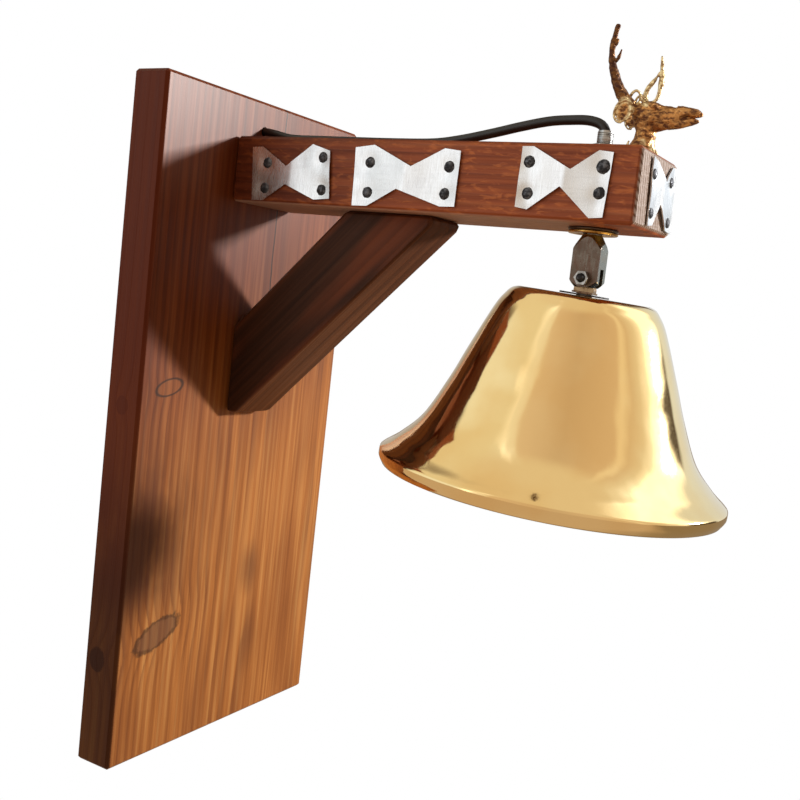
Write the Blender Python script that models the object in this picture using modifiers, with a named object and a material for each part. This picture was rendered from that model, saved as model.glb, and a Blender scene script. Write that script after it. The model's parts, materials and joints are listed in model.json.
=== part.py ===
"""Rustic wall lamp: pine backboard, braced beam, swivel knuckle and turned bell shade.

Metres. X runs along the wall, the wall is the plane y = 0, -Y points out from it and +Z is up.
The origin is the middle of the backboard's back face, where the lamp meets the wall.
"""
import math

import bmesh
import bpy
from mathutils import Matrix, Vector

# --- driving dimensions -------------------------------------------------------------------------
GAP = 0.0003             # clearance between two pieces that touch or fit into each other
FLOAT_TOLERANCE = 0.0001  # merge distance for turned shapes

BOARD_WIDTH = 0.222
BOARD_HEIGHT = 0.468
BOARD_THICKNESS = 0.030
BEAM_WIDTH = 0.070
BEAM_HEIGHT = 0.045
BEAM_LENGTH = 0.291
BEAM_X = -0.0042         # the beam sits slightly left of the board's middle
BEAM_DROP = 0.029        # board top to beam top
WOOD_EDGE = 0.0022       # hand-rounded arrises

BRACE_WIDTH = 0.040
BRACE_REACH_INNER = 0.087    # where the inner face meets the beam
BRACE_REACH_OUTER = 0.154    # end of the seat under the beam
BRACE_NOSE = 0.005           # short upright cut at the outer end
BRACE_DROP_INNER = 0.087     # below the beam's underside, where the inner face meets the board
BRACE_DROP_OUTER = 0.1495
BRACE_FOOT = 0.010           # short level cut at the lower end

TUBE_FROM_END = 0.0361   # end of the beam to the axis of the threaded tube
TUBE_RADIUS = 0.005      # M10 x 1 lamp tube
TUBE_BORE = 0.0036
TUBE_PROUD = 0.0132      # above the beam
TUBE_IN_BODY = 0.0105
TOP_WASHER_RADIUS = 0.0100

WASHER_RADIUS = 0.0152
WASHER_THICKNESS = 0.0015
LOCK_NUT_FLATS = 0.014
LOCK_NUT_HEIGHT = 0.003

KNUCKLE_X = 0.0136
KNUCKLE_Y = 0.0176
KNUCKLE_HEIGHT = 0.0318
KNUCKLE_TAPER = 0.0095   # length of the turned upper end
KNUCKLE_NECK = 0.0059    # radius at the top of that end
KNUCKLE_FOOT_TAPER = 0.0042
PIVOT_ABOVE_FOOT = 0.0052
FORK_SLOT = 0.0056
FORK_DEPTH = 0.0062      # slot above the pivot
TONGUE_EYE = 0.0049
BOLT_RADIUS = 0.0025     # M5
BOLT_HEAD_RADIUS = 0.0043
BOLT_HEAD_HEIGHT = 0.003
BOLT_END = 0.0028        # bolt standing out of its nut
PIVOT_NUT_FLATS = 0.008
PIVOT_NUT_HEIGHT = 0.004

SHADE_LEAN = math.radians(3.6)   # the shade hangs a little towards the wall
SHOULDER_DROP = 0.0079   # pivot to the top of the tongue's shoulder
SHOULDER_HEIGHT = 0.0011
SHOULDER_X = 0.0100
SHOULDER_Y = 0.0130
STUD_LENGTH = 0.0160
STUD_BORE = 0.0030
SHADE_WASHER_RADIUS = 0.0152
SHADE_WASHER_THICKNESS = 0.0010
SHADE_WALL = 0.0012
# Shade outline as (radius, drop below its top plate); the curve through these points is smooth.
SHADE_TOP_RADIUS = 0.0425
SHADE_HEIGHT = 0.1200
SHADE_OUTLINE = [(0.0425, 0.0), (0.0472, 0.0050), (0.0525, 0.0135), (0.0640, 0.0415), (0.0722, 0.0625),
                 (0.0843, 0.0880), (0.0975, 0.1030), (0.1080, 0.1118), (0.1080, 0.1158), (0.1056, 0.1200)]

CAP_HEIGHT = 0.0190
HOLDER_RADIUS = 0.0195
HOLDER_WALL = 0.0020
HOLDER_HEIGHT = 0.0270
INSERT_HEIGHT = 0.0050
SHELL_RADIUS = 0.0144
SHELL_WALL = 0.0007
SHELL_HEIGHT = 0.0190
BULB_CAP_RADIUS = 0.0130
BULB_CAP_HEIGHT = 0.0230
BULB_RADIUS = 0.0225
BULB_NECK_RADIUS = 0.0124
BULB_LENGTH = 0.0460
BULB_WALL = 0.0009

CABLE_RADIUS = 0.0030
CABLE_HOLE = 0.0035
CABLE_X = -0.0092
CABLE_ABOVE_BEAM = 0.0080    # beam top to the cable's hole through the board
# The cable's route from the terminal block, through the board, along the beam and into the tube.
CABLE_ROUTE = [(-0.0255, -0.0080, 0.2130), (-0.0200, -0.0078, 0.2130), (-0.0145, -0.0087, 0.2130),
               (-0.0108, -0.0115, 0.2130), (-0.0094, -0.0155, 0.2130), (-0.0092, -0.0210, 0.2130),
               (-0.0092, -0.0300, 0.2130), (-0.0091, -0.0400, 0.2115), (-0.0087, -0.0540, 0.2088),
               (-0.0080, -0.0740, 0.2084), (-0.0062, -0.1050, 0.2084), (-0.0050, -0.1400, 0.2084),
               (-0.0044, -0.1680, 0.2090), (-0.0042, -0.1880, 0.2116), (-0.0042, -0.2100, 0.2160),
               (-0.0042, -0.2300, 0.2205), (-0.0042, -0.2480, 0.2238), (-0.0042, -0.2620, 0.2247),
               (-0.0042, -0.2730, 0.2246), (-0.0042, -0.2808, 0.2226), (-0.0042, -0.2845, 0.2190),
               (-0.0042, -0.2853, 0.2140), (-0.0042, -0.2852, 0.2020), (-0.0042, -0.2852, 0.1700),
               (-0.0042, -0.2852, 0.1510)]
CABLE_STEPS = 50

POCKET_X = (-0.0590, 0.0310)
POCKET_BELOW_TOP = 0.0080    # board top to the wiring pocket
POCKET_HEIGHT = 0.0260
POCKET_DEPTH = 0.0160
BLOCK_SIZE = (0.0300, 0.0120, 0.0180)
BLOCK_X = -0.0411

HANGER_SPREAD = 0.150    # distance between the two keyholes
HANGER_BELOW_TOP = 0.084 # board top to the middle of a keyhole
HANGER_SIZE = (0.017, 0.042)
HANGER_THICKNESS = 0.0015
HANGER_RECESS = 0.0032
HANGER_SLOT_DEPTH = 0.0100
HANGER_SLOT_SIZE = (0.0115, 0.0230)
HANGER_SLOT_RISE = 0.004     # keyhole's middle to the middle of the slot behind it
HANGER_EAR = 0.0045          # end of the hanger to its nail hole
KEYHOLE_RADIUS = 0.0045
KEYHOLE_SLOT = 0.0022

PLATE_THICKNESS = 0.0008
NAIL_HEAD_RADIUS = 0.0034
NAIL_HEAD_HEIGHT = 0.0017
NAIL_RADIUS = 0.0014
NAIL_LENGTH = 0.0180
SCREW_RADIUS = 0.0020
SCREW_HEAD_RADIUS = 0.0040
BEAM_SCREW_LENGTH = 0.072
BEAM_SCREW_SIDESTEP = 0.016  # beam's middle to a beam screw
BEAM_SCREW_DROP = 0.014      # beam's top to the upper beam screw
BEAM_SCREW_RISE = 0.011      # beam's underside to the lower one
WALL_SCREW_LENGTH = 0.055
SEAT_SCREW_LENGTH = 0.068
SEAT_SCREW_SIDESTEP = 0.013
SCREW_SUNK = 0.0010          # a screw's head below the wood around it

# Hand-cut plates, as corners (reach from the board, drop below the beam's top), and their nails,
# drawn for a beam of this length; a plate moves with its share of any change.
PLATES_DRAWN_FOR = 0.291
PLATE_SHARES = (0.0, 0.25, 1.0)
SIDE_PLATES = [
    ([(0.0170, 0.0080), (0.0255, 0.0075), (0.0465, 0.0200), (0.0670, 0.0050), (0.0812, 0.0090),
      (0.0842, 0.0400), (0.0715, 0.0412), (0.0470, 0.0320), (0.0288, 0.0435), (0.0200, 0.0438)],
     [(0.0304, 0.0183), (0.0299, 0.0353), (0.0760, 0.0134), (0.0772, 0.0346)]),
    ([(0.1013, 0.0063), (0.1156, 0.0044), (0.1441, 0.0171), (0.1669, 0.0054), (0.1782, 0.0067),
      (0.1778, 0.0406), (0.1673, 0.0409), (0.1349, 0.0315), (0.1138, 0.0432), (0.1027, 0.0435)],
     [(0.1133, 0.0155), (0.1134, 0.0346), (0.1712, 0.0165), (0.1698, 0.0331)]),
    ([(0.2189, 0.0030), (0.2259, 0.0028), (0.2504, 0.0154), (0.2665, 0.0042), (0.2752, 0.0051),
      (0.2734, 0.0419), (0.2651, 0.0426), (0.2453, 0.0254), (0.2260, 0.0396), (0.2184, 0.0385)],
     [(0.2242, 0.0119), (0.2253, 0.0303), (0.2700, 0.0134), (0.2695, 0.0283)]),
]
# The end plate's corners as (distance right of the beam's middle, drop below its top).
END_PLATE = ([(-0.0183, 0.0035), (-0.0080, 0.0050), (0.0090, 0.0142), (0.0200, 0.0040), (0.0270, 0.0035),
              (0.0308, 0.0425), (0.0190, 0.0415), (0.0031, 0.0280), (-0.0060, 0.0415), (-0.0140, 0.0425)],
             [(-0.0127, 0.0130), (0.0209, 0.0130), (-0.0105, 0.0350), (0.0237, 0.0366)])

STAG_FROM_END = 0.0133   # end of the beam to the middle of the stag's peg
STAG_PEG_RADIUS = 0.0025
STAG_PEG_LENGTH = 0.0120

# --- places that follow from the sizes ------------------------------------------------------------
BOARD_TOP = BOARD_HEIGHT / 2
BOARD_FACE = -BOARD_THICKNESS
BEAM_TOP = BOARD_TOP - BEAM_DROP
BEAM_UNDERSIDE = BEAM_TOP - BEAM_HEIGHT
TUBE_REACH = BEAM_LENGTH + GAP - TUBE_FROM_END
STAG_REACH = BEAM_LENGTH + GAP - STAG_FROM_END
CABLE_Z = BEAM_TOP + CABLE_ABOVE_BEAM
POCKET_Z = (BOARD_TOP - POCKET_BELOW_TOP - POCKET_HEIGHT, BOARD_TOP - POCKET_BELOW_TOP)
HANGER_Z = BOARD_TOP - HANGER_BELOW_TOP
BEAM_NEAR = BOARD_FACE - GAP
BEAM_END = BEAM_NEAR - BEAM_LENGTH
TUBE_Y = BOARD_FACE - TUBE_REACH
KNUCKLE_TOP = BEAM_UNDERSIDE - 2 * WASHER_THICKNESS - 3 * GAP
PIVOT = Vector((BEAM_X, TUBE_Y, KNUCKLE_TOP - KNUCKLE_HEIGHT + PIVOT_ABOVE_FOOT))
TUBE_LOWER_END = KNUCKLE_TOP - TUBE_IN_BODY
SHADE_PLATE = -(SHOULDER_DROP + SHOULDER_HEIGHT + SHADE_WASHER_THICKNESS + 2 * GAP)
SHADE_NUT_TOP = SHADE_PLATE - SHADE_WALL - GAP
CAP_TOP = SHADE_NUT_TOP - LOCK_NUT_HEIGHT - GAP
HOLDER_TOP = CAP_TOP - CAP_HEIGHT - GAP
INSERT_TOP = HOLDER_TOP - HOLDER_WALL - GAP
SHELL_TOP = INSERT_TOP - INSERT_HEIGHT - GAP
BULB_CAP_TOP = SHELL_TOP - 0.0026

# Turns that lay a flat outline, drawn in X and Y, on the beam's side or on its end.
SIDE_TURN = Matrix(((0, 0, -1), (-1, 0, 0), (0, 1, 0))).to_4x4()
END_TURN = Matrix(((1, 0, 0), (0, 0, -1), (0, 1, 0))).to_4x4()
TO_LEFT = Matrix(((0, 0, -1), (0, 1, 0), (1, 0, 0))).to_4x4()     # local +Z points to -X
TO_WALL = Matrix(((1, 0, 0), (0, 0, 1), (0, -1, 0))).to_4x4()     # local +Z points to +Y
OUTWARD = Matrix(((1, 0, 0), (0, 0, -1), (0, 1, 0))).to_4x4()     # local +Z points to -Y
UPWARD = Matrix.Identity(4)


# --- scene, materials and basic shapes -----------------------------------------------------------
def clear_scene():
    for old in list(bpy.data.objects):
        bpy.data.objects.remove(old, do_unlink=True)


def collection(name, hidden=False):
    made = bpy.data.collections.new(name)
    bpy.context.scene.collection.children.link(made)
    made.hide_render = hidden
    return made


def material(name, colour, roughness, metallic=0.0):
    made = bpy.data.materials.get(name) or bpy.data.materials.new(name)
    made.use_nodes = True
    shader = made.node_tree.nodes["Principled BSDF"]
    shader.inputs["Base Color"].default_value = (*colour, 1.0)
    shader.inputs["Roughness"].default_value = roughness
    shader.inputs["Metallic"].default_value = metallic
    return made


def link(name, data, finish, place=UPWARD):
    """Put mesh or curve data into the lamp's collection as one named piece."""
    piece = bpy.data.objects.new(name, data)
    piece.matrix_world = place
    LAMP.objects.link(piece)
    data.materials.append(finish)
    return piece


def link_cutter(name, mesh, place=UPWARD):
    cutter = bpy.data.objects.new(name, mesh)
    cutter.matrix_world = place
    cutter.hide_render = True
    cutter.display_type = "WIRE"
    CUTTERS.objects.link(cutter)
    return cutter


def cut(piece, cutter, operation="DIFFERENCE"):
    step = piece.modifiers.new(cutter.name, "BOOLEAN")
    step.operation = operation
    step.object = cutter
    step.solver = "EXACT"


def box_mesh(name, size, centre=(0, 0, 0)):
    shape = bmesh.new()
    bmesh.ops.create_cube(shape, size=1.0)
    bmesh.ops.scale(shape, vec=size, verts=shape.verts)
    bmesh.ops.translate(shape, vec=centre, verts=shape.verts)
    mesh = bpy.data.meshes.new(name)
    shape.to_mesh(mesh)
    shape.free()
    return mesh


def cylinders_mesh(name, radius, depth, places, sides=16):
    """One mesh of equal cylinders, each centred on a place and standing along its Z."""
    shape = bmesh.new()
    for place in places:
        bmesh.ops.create_cone(shape, cap_ends=True, segments=sides, radius1=radius, radius2=radius,
                              depth=depth, matrix=place)
    mesh = bpy.data.meshes.new(name)
    shape.to_mesh(mesh)
    shape.free()
    return mesh


def profile_mesh(name, profile):
    """A chain of edges through points of (radius, height)."""
    mesh = bpy.data.meshes.new(name)
    points = [(radius, 0.0, height) for radius, height in profile]
    mesh.from_pydata(points, [(i, i + 1) for i in range(len(points) - 1)], [])
    return mesh


def spin(piece, sides):
    turn = piece.modifiers.new("turn", "SCREW")
    turn.steps = sides
    turn.render_steps = sides
    turn.use_merge_vertices = True
    turn.merge_threshold = FLOAT_TOLERANCE


def turned(name, profile, finish, place=UPWARD, sides=32, wall=0.0):
    """Turn a profile of (radius, height), given from the top down, about the local Z axis."""
    piece = link(name, profile_mesh(name, profile), finish, place)
    spin(piece, sides)
    if wall:
        thicken = piece.modifiers.new("wall", "SOLIDIFY")
        thicken.thickness = wall
        thicken.offset = -1.0
    return piece


def turned_cutter(name, profile, place, sides):
    cutter = link_cutter(name, profile_mesh(name, profile), place)
    spin(cutter, sides)
    return cutter


def ring(name, outer, inner, height, top, finish, place=UPWARD, sides=32):
    """A washer, tube or sleeve with its top face at the given height."""
    shape = bmesh.new()
    rims = [bmesh.ops.create_circle(shape, segments=sides, radius=radius)["verts"]
            for radius in (outer, inner)]
    edges = list({edge for rim in rims for vert in rim for edge in vert.link_edges})
    flat = bmesh.ops.bridge_loops(shape, edges=edges)["faces"]
    lower = bmesh.ops.extrude_face_region(shape, geom=flat)["geom"]
    moved = [part for part in lower if isinstance(part, bmesh.types.BMVert)]
    bmesh.ops.translate(shape, vec=(0, 0, -height), verts=moved)
    bmesh.ops.recalc_face_normals(shape, faces=shape.faces)
    bmesh.ops.translate(shape, vec=(0, 0, top), verts=shape.verts)
    mesh = bpy.data.meshes.new(name)
    shape.to_mesh(mesh)
    shape.free()
    return link(name, mesh, finish, place)


def flat_mesh(name, outline, thickness, holes=()):
    """A plate from a closed outline, with further closed outlines as its holes."""
    curve = bpy.data.curves.new(name, "CURVE")
    curve.dimensions = "2D"
    curve.fill_mode = "BOTH"
    curve.extrude = thickness / 2
    for points in [outline, *holes]:
        spline = curve.splines.new("POLY")
        spline.points.add(len(points) - 1)
        for target, (across, up) in zip(spline.points, points):
            target.co = (across, up, 0, 1)
        spline.use_cyclic_u = True
    holder = bpy.data.objects.new(name, curve)
    mesh = bpy.data.meshes.new_from_object(holder)
    bpy.data.objects.remove(holder)
    shape = bmesh.new()
    shape.from_mesh(mesh)
    bmesh.ops.remove_doubles(shape, verts=shape.verts, dist=1e-6)
    bmesh.ops.recalc_face_normals(shape, faces=shape.faces)
    shape.to_mesh(mesh)
    shape.free()
    return mesh


def circle(radius, centre=(0.0, 0.0), sides=12):
    return [(centre[0] + radius * math.cos(2 * math.pi * i / sides),
             centre[1] + radius * math.sin(2 * math.pi * i / sides)) for i in range(sides)]


def smooth_route(points, steps):
    """Evenly counted points on a Catmull-Rom curve through the given points."""
    points = [Vector(point) for point in points]
    padded = [2 * points[0] - points[1], *points, 2 * points[-1] - points[-2]]
    spans = len(points) - 1
    route = []
    for step in range(steps + 1):
        at = min(step / steps * spans, spans - 1e-9)
        first = int(at)
        t = at - first
        a, b, c, d = padded[first:first + 4]
        route.append(0.5 * (2 * b + (c - a) * t + (2 * a - 5 * b + 4 * c - d) * t ** 2
                            + (3 * b - a - 3 * c + d) * t ** 3))
    return route


def soften(piece, width=WOOD_EDGE):
    bevel = piece.modifiers.new("arris", "BEVEL")
    bevel.width = width
    bevel.segments = 1
    bevel.limit_method = "ANGLE"


# --- fasteners -----------------------------------------------------------------------------------
def screw_profile(length, grow=0.0):
    """A countersunk wood screw, head up, from its flat head down to its point."""
    head = SCREW_HEAD_RADIUS + grow
    shank = SCREW_RADIUS + grow
    top = grow if grow else 0.0
    return [(0.0, top), (head, top), (head, -0.0006), (shank, -0.0006 - (head - shank)),
            (shank, -length + 0.004), (0.0, -length - grow)]


def wood_screw(name, length, place, *wood):
    """A screw, and its fitted hole in each piece of wood that it passes."""
    turned(name, screw_profile(length), STEEL, place, sides=16)
    cutter = turned_cutter(name + "_hole", screw_profile(length, GAP), place, 16)
    for piece in wood:
        cut(piece, cutter)


def nail(name, place):
    """A hand-forged nail with a low domed head; its place is the plate's outer face."""
    reach = GAP
    profile = [(0.0, NAIL_HEAD_HEIGHT), (NAIL_HEAD_RADIUS * 0.62, NAIL_HEAD_HEIGHT * 0.86),
               (NAIL_HEAD_RADIUS, NAIL_HEAD_HEIGHT * 0.35), (NAIL_HEAD_RADIUS, reach),
               (NAIL_RADIUS, reach), (NAIL_RADIUS, -NAIL_LENGTH + 0.003), (0.0, -NAIL_LENGTH)]
    turned(name, profile, NAIL_IRON, place, sides=10)


def nail_holes(name, beam, places):
    depth = NAIL_LENGTH + 2 * GAP
    sunk = [place @ Matrix.Translation((0, 0, -depth / 2 + GAP)) for place in places]
    cut(beam, link_cutter(name, cylinders_mesh(name, NAIL_RADIUS + GAP, depth, sunk, 12)))


# --- wood ----------------------------------------------------------------------------------------
def make_backboard():
    board = link("backboard", box_mesh("backboard", (BOARD_WIDTH, BOARD_THICKNESS, BOARD_HEIGHT),
                                       (0, BOARD_FACE / 2, 0)), PINE)
    soften(board)
    width = POCKET_X[1] - POCKET_X[0]
    height = POCKET_Z[1] - POCKET_Z[0]
    centre = (sum(POCKET_X) / 2, 0.0, sum(POCKET_Z) / 2)
    cut(board, link_cutter("wiring_pocket", box_mesh("pocket", (width, 2 * POCKET_DEPTH, height), centre)))
    place = Matrix.Translation((CABLE_X, BOARD_FACE / 2, CABLE_Z)) @ TO_WALL
    hole = cylinders_mesh("cable_hole", CABLE_HOLE, 2 * BOARD_THICKNESS, [place])
    cut(board, link_cutter("cable_hole", hole))
    return board


def make_beam():
    centre = (BEAM_X, BEAM_NEAR - BEAM_LENGTH / 2, BEAM_TOP - BEAM_HEIGHT / 2)
    beam = link("beam", box_mesh("beam", (BEAM_WIDTH, BEAM_LENGTH, BEAM_HEIGHT), centre), BEAM_WOOD)
    soften(beam)
    middle = Matrix.Translation((BEAM_X, TUBE_Y, BEAM_TOP - BEAM_HEIGHT / 2))
    hole = cylinders_mesh("tube_hole", TUBE_RADIUS + GAP, 2 * BEAM_HEIGHT, [middle], 24)
    cut(beam, link_cutter("tube_hole", hole))
    peg_depth = STAG_PEG_LENGTH + 2 * GAP
    peg = Matrix.Translation((BEAM_X, BOARD_FACE - STAG_REACH, BEAM_TOP - peg_depth / 2 + GAP))
    cut(beam, link_cutter("peg_hole", cylinders_mesh("peg_hole", STAG_PEG_RADIUS + GAP, peg_depth, [peg])))
    return beam


def make_brace():
    """The diagonal brace, drawn as (reach from the board, height) and laid on its side."""
    top = BEAM_UNDERSIDE - GAP
    outline = [(BRACE_REACH_INNER, top), (BRACE_REACH_OUTER, top), (BRACE_REACH_OUTER, top - BRACE_NOSE),
               (BRACE_FOOT, top - BRACE_DROP_OUTER), (GAP, top - BRACE_DROP_OUTER),
               (GAP, top - BRACE_DROP_INNER)]
    place = Matrix.Translation((BEAM_X, BOARD_FACE, 0)) @ SIDE_TURN
    brace = link("brace", flat_mesh("brace", outline, BRACE_WIDTH), BEAM_WOOD, place)
    soften(brace)
    return brace


def fix_wood(board, beam, brace):
    """Two screws hold the beam and one the brace from behind; one more ties the brace to the beam."""
    seat = BEAM_UNDERSIDE - 0.5 * (BRACE_DROP_INNER + BRACE_DROP_OUTER)
    left, right = (BEAM_X - BEAM_SCREW_SIDESTEP, BEAM_X + BEAM_SCREW_SIDESTEP)
    rows = [("beam_screw_upper", left, BEAM_TOP - BEAM_SCREW_DROP, BEAM_SCREW_LENGTH, beam),
            ("beam_screw_lower", right, BEAM_UNDERSIDE + BEAM_SCREW_RISE, BEAM_SCREW_LENGTH, beam),
            ("brace_screw_wall", BEAM_X, seat, WALL_SCREW_LENGTH, brace)]
    for name, across, up, length, held in rows:
        wood_screw(name, length, Matrix.Translation((across, -SCREW_SUNK, up)) @ TO_WALL, board, held)
    reach = 0.5 * (BRACE_REACH_INNER + BRACE_REACH_OUTER)
    place = Matrix.Translation((BEAM_X + SEAT_SCREW_SIDESTEP, BOARD_FACE - reach, BEAM_TOP - SCREW_SUNK))
    wood_screw("brace_screw_beam", SEAT_SCREW_LENGTH, place, beam, brace)


# --- plates and nails ----------------------------------------------------------------------------
def lay_plate(name, plate, turn, origin):
    corners, nails = plate
    outline = [(across, -drop) for across, drop in corners]
    holes = [circle(NAIL_RADIUS + GAP, (across, -drop)) for across, drop in nails]
    place = Matrix.Translation(origin) @ turn
    link(name, flat_mesh(name, outline, PLATE_THICKNESS, holes), ALUMINIUM, place)


def make_plates(beam):
    offset = BEAM_WIDTH / 2 + GAP + PLATE_THICKNESS / 2
    face = BEAM_WIDTH / 2 + GAP + PLATE_THICKNESS
    places = []
    for number, (plate, share) in enumerate(zip(SIDE_PLATES, PLATE_SHARES), start=1):
        start = BOARD_FACE - share * (BEAM_LENGTH - PLATES_DRAWN_FOR)
        for side, sign in (("near", -1), ("far", 1)):
            origin = (BEAM_X + sign * offset, start, BEAM_TOP)
            lay_plate(f"side_plate_{side}_{number}", plate, SIDE_TURN, origin)
        for count, (reach, drop) in enumerate(plate[1], start=1):
            place = Matrix.Translation((BEAM_X - face, start - reach, BEAM_TOP - drop)) @ TO_LEFT
            nail(f"side_nail_{number}_{count}", place)
            places.append(place)
    end_face = BEAM_END - GAP - PLATE_THICKNESS
    lay_plate("end_plate", END_PLATE, END_TURN, (BEAM_X, BEAM_END - GAP - PLATE_THICKNESS / 2, BEAM_TOP))
    for count, (across, drop) in enumerate(END_PLATE[1], start=1):
        place = Matrix.Translation((BEAM_X + across, end_face, BEAM_TOP - drop)) @ OUTWARD
        nail(f"end_nail_{count}", place)
        places.append(place)
    nail_holes("nail_holes", beam, places)


# --- wall fixing and wiring ----------------------------------------------------------------------
def keyhole():
    """A round hole with a narrow slot above it, as one closed outline."""
    start = math.asin(KEYHOLE_SLOT / KEYHOLE_RADIUS)
    sweep = 2 * math.pi - 2 * start
    arc = [math.pi / 2 + start + sweep * i / 14 for i in range(15)]
    points = [(KEYHOLE_RADIUS * math.cos(a), KEYHOLE_RADIUS * math.sin(a)) for a in arc]
    return points + [(KEYHOLE_SLOT, 0.0105), (0.0, 0.0105 + KEYHOLE_SLOT), (-KEYHOLE_SLOT, 0.0105)]


def make_hangers(board):
    across, tall = (HANGER_SIZE[0] / 2, HANGER_SIZE[1] / 2)
    outline = [(-across, -tall), (across, -tall), (across, tall), (-across, tall)]
    ears = [(0.0, tall - HANGER_EAR), (0.0, -tall + HANGER_EAR)]
    holes = [keyhole(), *[circle(NAIL_RADIUS + GAP, ear) for ear in ears]]
    for side, sign in (("left", -1), ("right", 1)):
        centre = Vector((sign * HANGER_SPREAD / 2, 0, HANGER_Z))
        recess_size = (HANGER_SIZE[0] + 2 * GAP, 2 * HANGER_RECESS, HANGER_SIZE[1] + 2 * GAP)
        recess = box_mesh("recess", recess_size, centre)
        cut(board, link_cutter(f"hanger_recess_{side}", recess))
        slot_size = (HANGER_SLOT_SIZE[0], 2 * HANGER_SLOT_DEPTH, HANGER_SLOT_SIZE[1])
        slot = box_mesh("slot", slot_size, centre + Vector((0, 0, HANGER_SLOT_RISE)))
        cut(board, link_cutter(f"hanger_slot_{side}", slot))
        back = -HANGER_RECESS + GAP + HANGER_THICKNESS / 2
        place = Matrix.Translation(centre + Vector((0, back, 0))) @ END_TURN
        link(f"hanger_{side}", flat_mesh("hanger", outline, HANGER_THICKNESS, holes), STEEL, place)
        make_hanger_screws(board, side, centre, ears)


def make_hanger_screws(board, side, centre, ears):
    seat = -HANGER_RECESS + 2 * GAP + HANGER_THICKNESS
    profile = [(0.0, 0.0010), (0.0022, 0.0009), (0.0029, 0.0004), (0.0029, 0.0), (NAIL_RADIUS, 0.0),
               (NAIL_RADIUS, -0.011), (0.0, -0.014)]
    places = []
    for count, (_, up) in enumerate(ears, start=1):
        place = Matrix.Translation(centre + Vector((0, seat, up))) @ TO_WALL
        turned(f"hanger_screw_{side}_{count}", profile, STEEL, place, sides=10)
        places.append(place @ Matrix.Translation((0, 0, -0.0075)))
    name = f"hanger_screw_holes_{side}"
    cut(board, link_cutter(name, cylinders_mesh(name, NAIL_RADIUS + GAP, 0.0142, places, 12)))


def make_wiring():
    block_y = -POCKET_DEPTH + GAP + BLOCK_SIZE[1] / 2
    shape = box_mesh("terminal_block", BLOCK_SIZE, (BLOCK_X, block_y, CABLE_Z))
    block = link("terminal_block", shape, WHITE_PLASTIC)
    soften(block, 0.0010)
    route = smooth_route(CABLE_ROUTE, CABLE_STEPS)
    make_cord("lamp_cable", route, CABLE_RADIUS)


def make_cord(name, route, radius):
    curve = bpy.data.curves.new(name, "CURVE")
    curve.dimensions = "3D"
    curve.bevel_depth = radius
    curve.bevel_resolution = 2
    curve.use_fill_caps = True
    spline = curve.splines.new("POLY")
    spline.points.add(len(route) - 1)
    for target, point in zip(spline.points, route):
        target.co = (*point, 1)
    link(name, curve, BLACK_PLASTIC)


# --- threaded tube and knuckle -------------------------------------------------------------------
def make_tube():
    axis = Matrix.Translation((BEAM_X, TUBE_Y, 0))
    top = BEAM_TOP + TUBE_PROUD
    ring("threaded_tube", TUBE_RADIUS, TUBE_BORE, top - TUBE_LOWER_END, top, ZINC, axis, 24)
    washer_top = BEAM_TOP + GAP + WASHER_THICKNESS
    ring("tube_top_washer", TOP_WASHER_RADIUS, TUBE_RADIUS + GAP, WASHER_THICKNESS, washer_top, ZINC,
         axis, 24)
    nut_top = washer_top + GAP + LOCK_NUT_HEIGHT
    hex_nut("tube_lock_nut", LOCK_NUT_FLATS, TUBE_RADIUS + GAP, LOCK_NUT_HEIGHT, nut_top, ZINC, axis)
    for number, name in enumerate(("beam_washer", "knuckle_washer")):
        upper = BEAM_UNDERSIDE - GAP - number * (WASHER_THICKNESS + GAP)
        ring(name, WASHER_RADIUS, TUBE_RADIUS + GAP, WASHER_THICKNESS, upper, ZINC, axis, 24)


def hex_nut(name, flats, bore, height, top, finish, place):
    """A hexagon nut: the outline's corners lie on a circle around its flats."""
    across = circle(flats / math.sqrt(3), sides=6)
    mesh = flat_mesh(name, across, height, [circle(bore, sides=24)])
    return link(name, mesh, finish, place @ Matrix.Translation((0, 0, top - height / 2)))


def make_knuckle():
    """The swivelling body: a square bar with turned ends, slotted below to take the tongue."""
    centre = (BEAM_X, TUBE_Y, KNUCKLE_TOP - KNUCKLE_HEIGHT / 2)
    bar = box_mesh("knuckle_body", (KNUCKLE_X, KNUCKLE_Y, KNUCKLE_HEIGHT), centre)
    body = link("knuckle_body", bar, STEEL)
    corner = math.hypot(KNUCKLE_X, KNUCKLE_Y) / 2 + GAP
    profile = [(0.0, 0.0), (KNUCKLE_NECK, 0.0), (corner, -KNUCKLE_TAPER),
               (corner, -KNUCKLE_HEIGHT + KNUCKLE_FOOT_TAPER),
               (corner - KNUCKLE_FOOT_TAPER, -KNUCKLE_HEIGHT), (0.0, -KNUCKLE_HEIGHT)]
    top_face = Matrix.Translation((BEAM_X, TUBE_Y, KNUCKLE_TOP))
    cut(body, turned_cutter("turned_ends", profile, top_face, 32), "INTERSECT")
    slot_height = FORK_DEPTH + PIVOT_ABOVE_FOOT + GAP
    slot_centre = (BEAM_X, TUBE_Y, PIVOT.z + FORK_DEPTH - slot_height / 2)
    slot = box_mesh("fork_slot", (FORK_SLOT, 2 * KNUCKLE_Y, slot_height), slot_centre)
    cut(body, link_cutter("fork_slot", slot))
    socket_end = -TUBE_IN_BODY - GAP
    way_end = PIVOT.z + FORK_DEPTH / 2 - KNUCKLE_TOP
    socket = [(0.0, GAP), (TUBE_RADIUS + GAP, GAP), (TUBE_RADIUS + GAP, socket_end),
              (STUD_BORE - GAP, socket_end), (STUD_BORE - GAP, way_end), (0.0, way_end)]
    cut(body, turned_cutter("tube_socket", socket, top_face, 24))
    cross = Matrix.Translation(PIVOT) @ TO_LEFT
    hole = cylinders_mesh("pivot_hole", BOLT_RADIUS + GAP, 2 * KNUCKLE_X, [cross], 24)
    cut(body, link_cutter("pivot_hole", hole))


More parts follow.
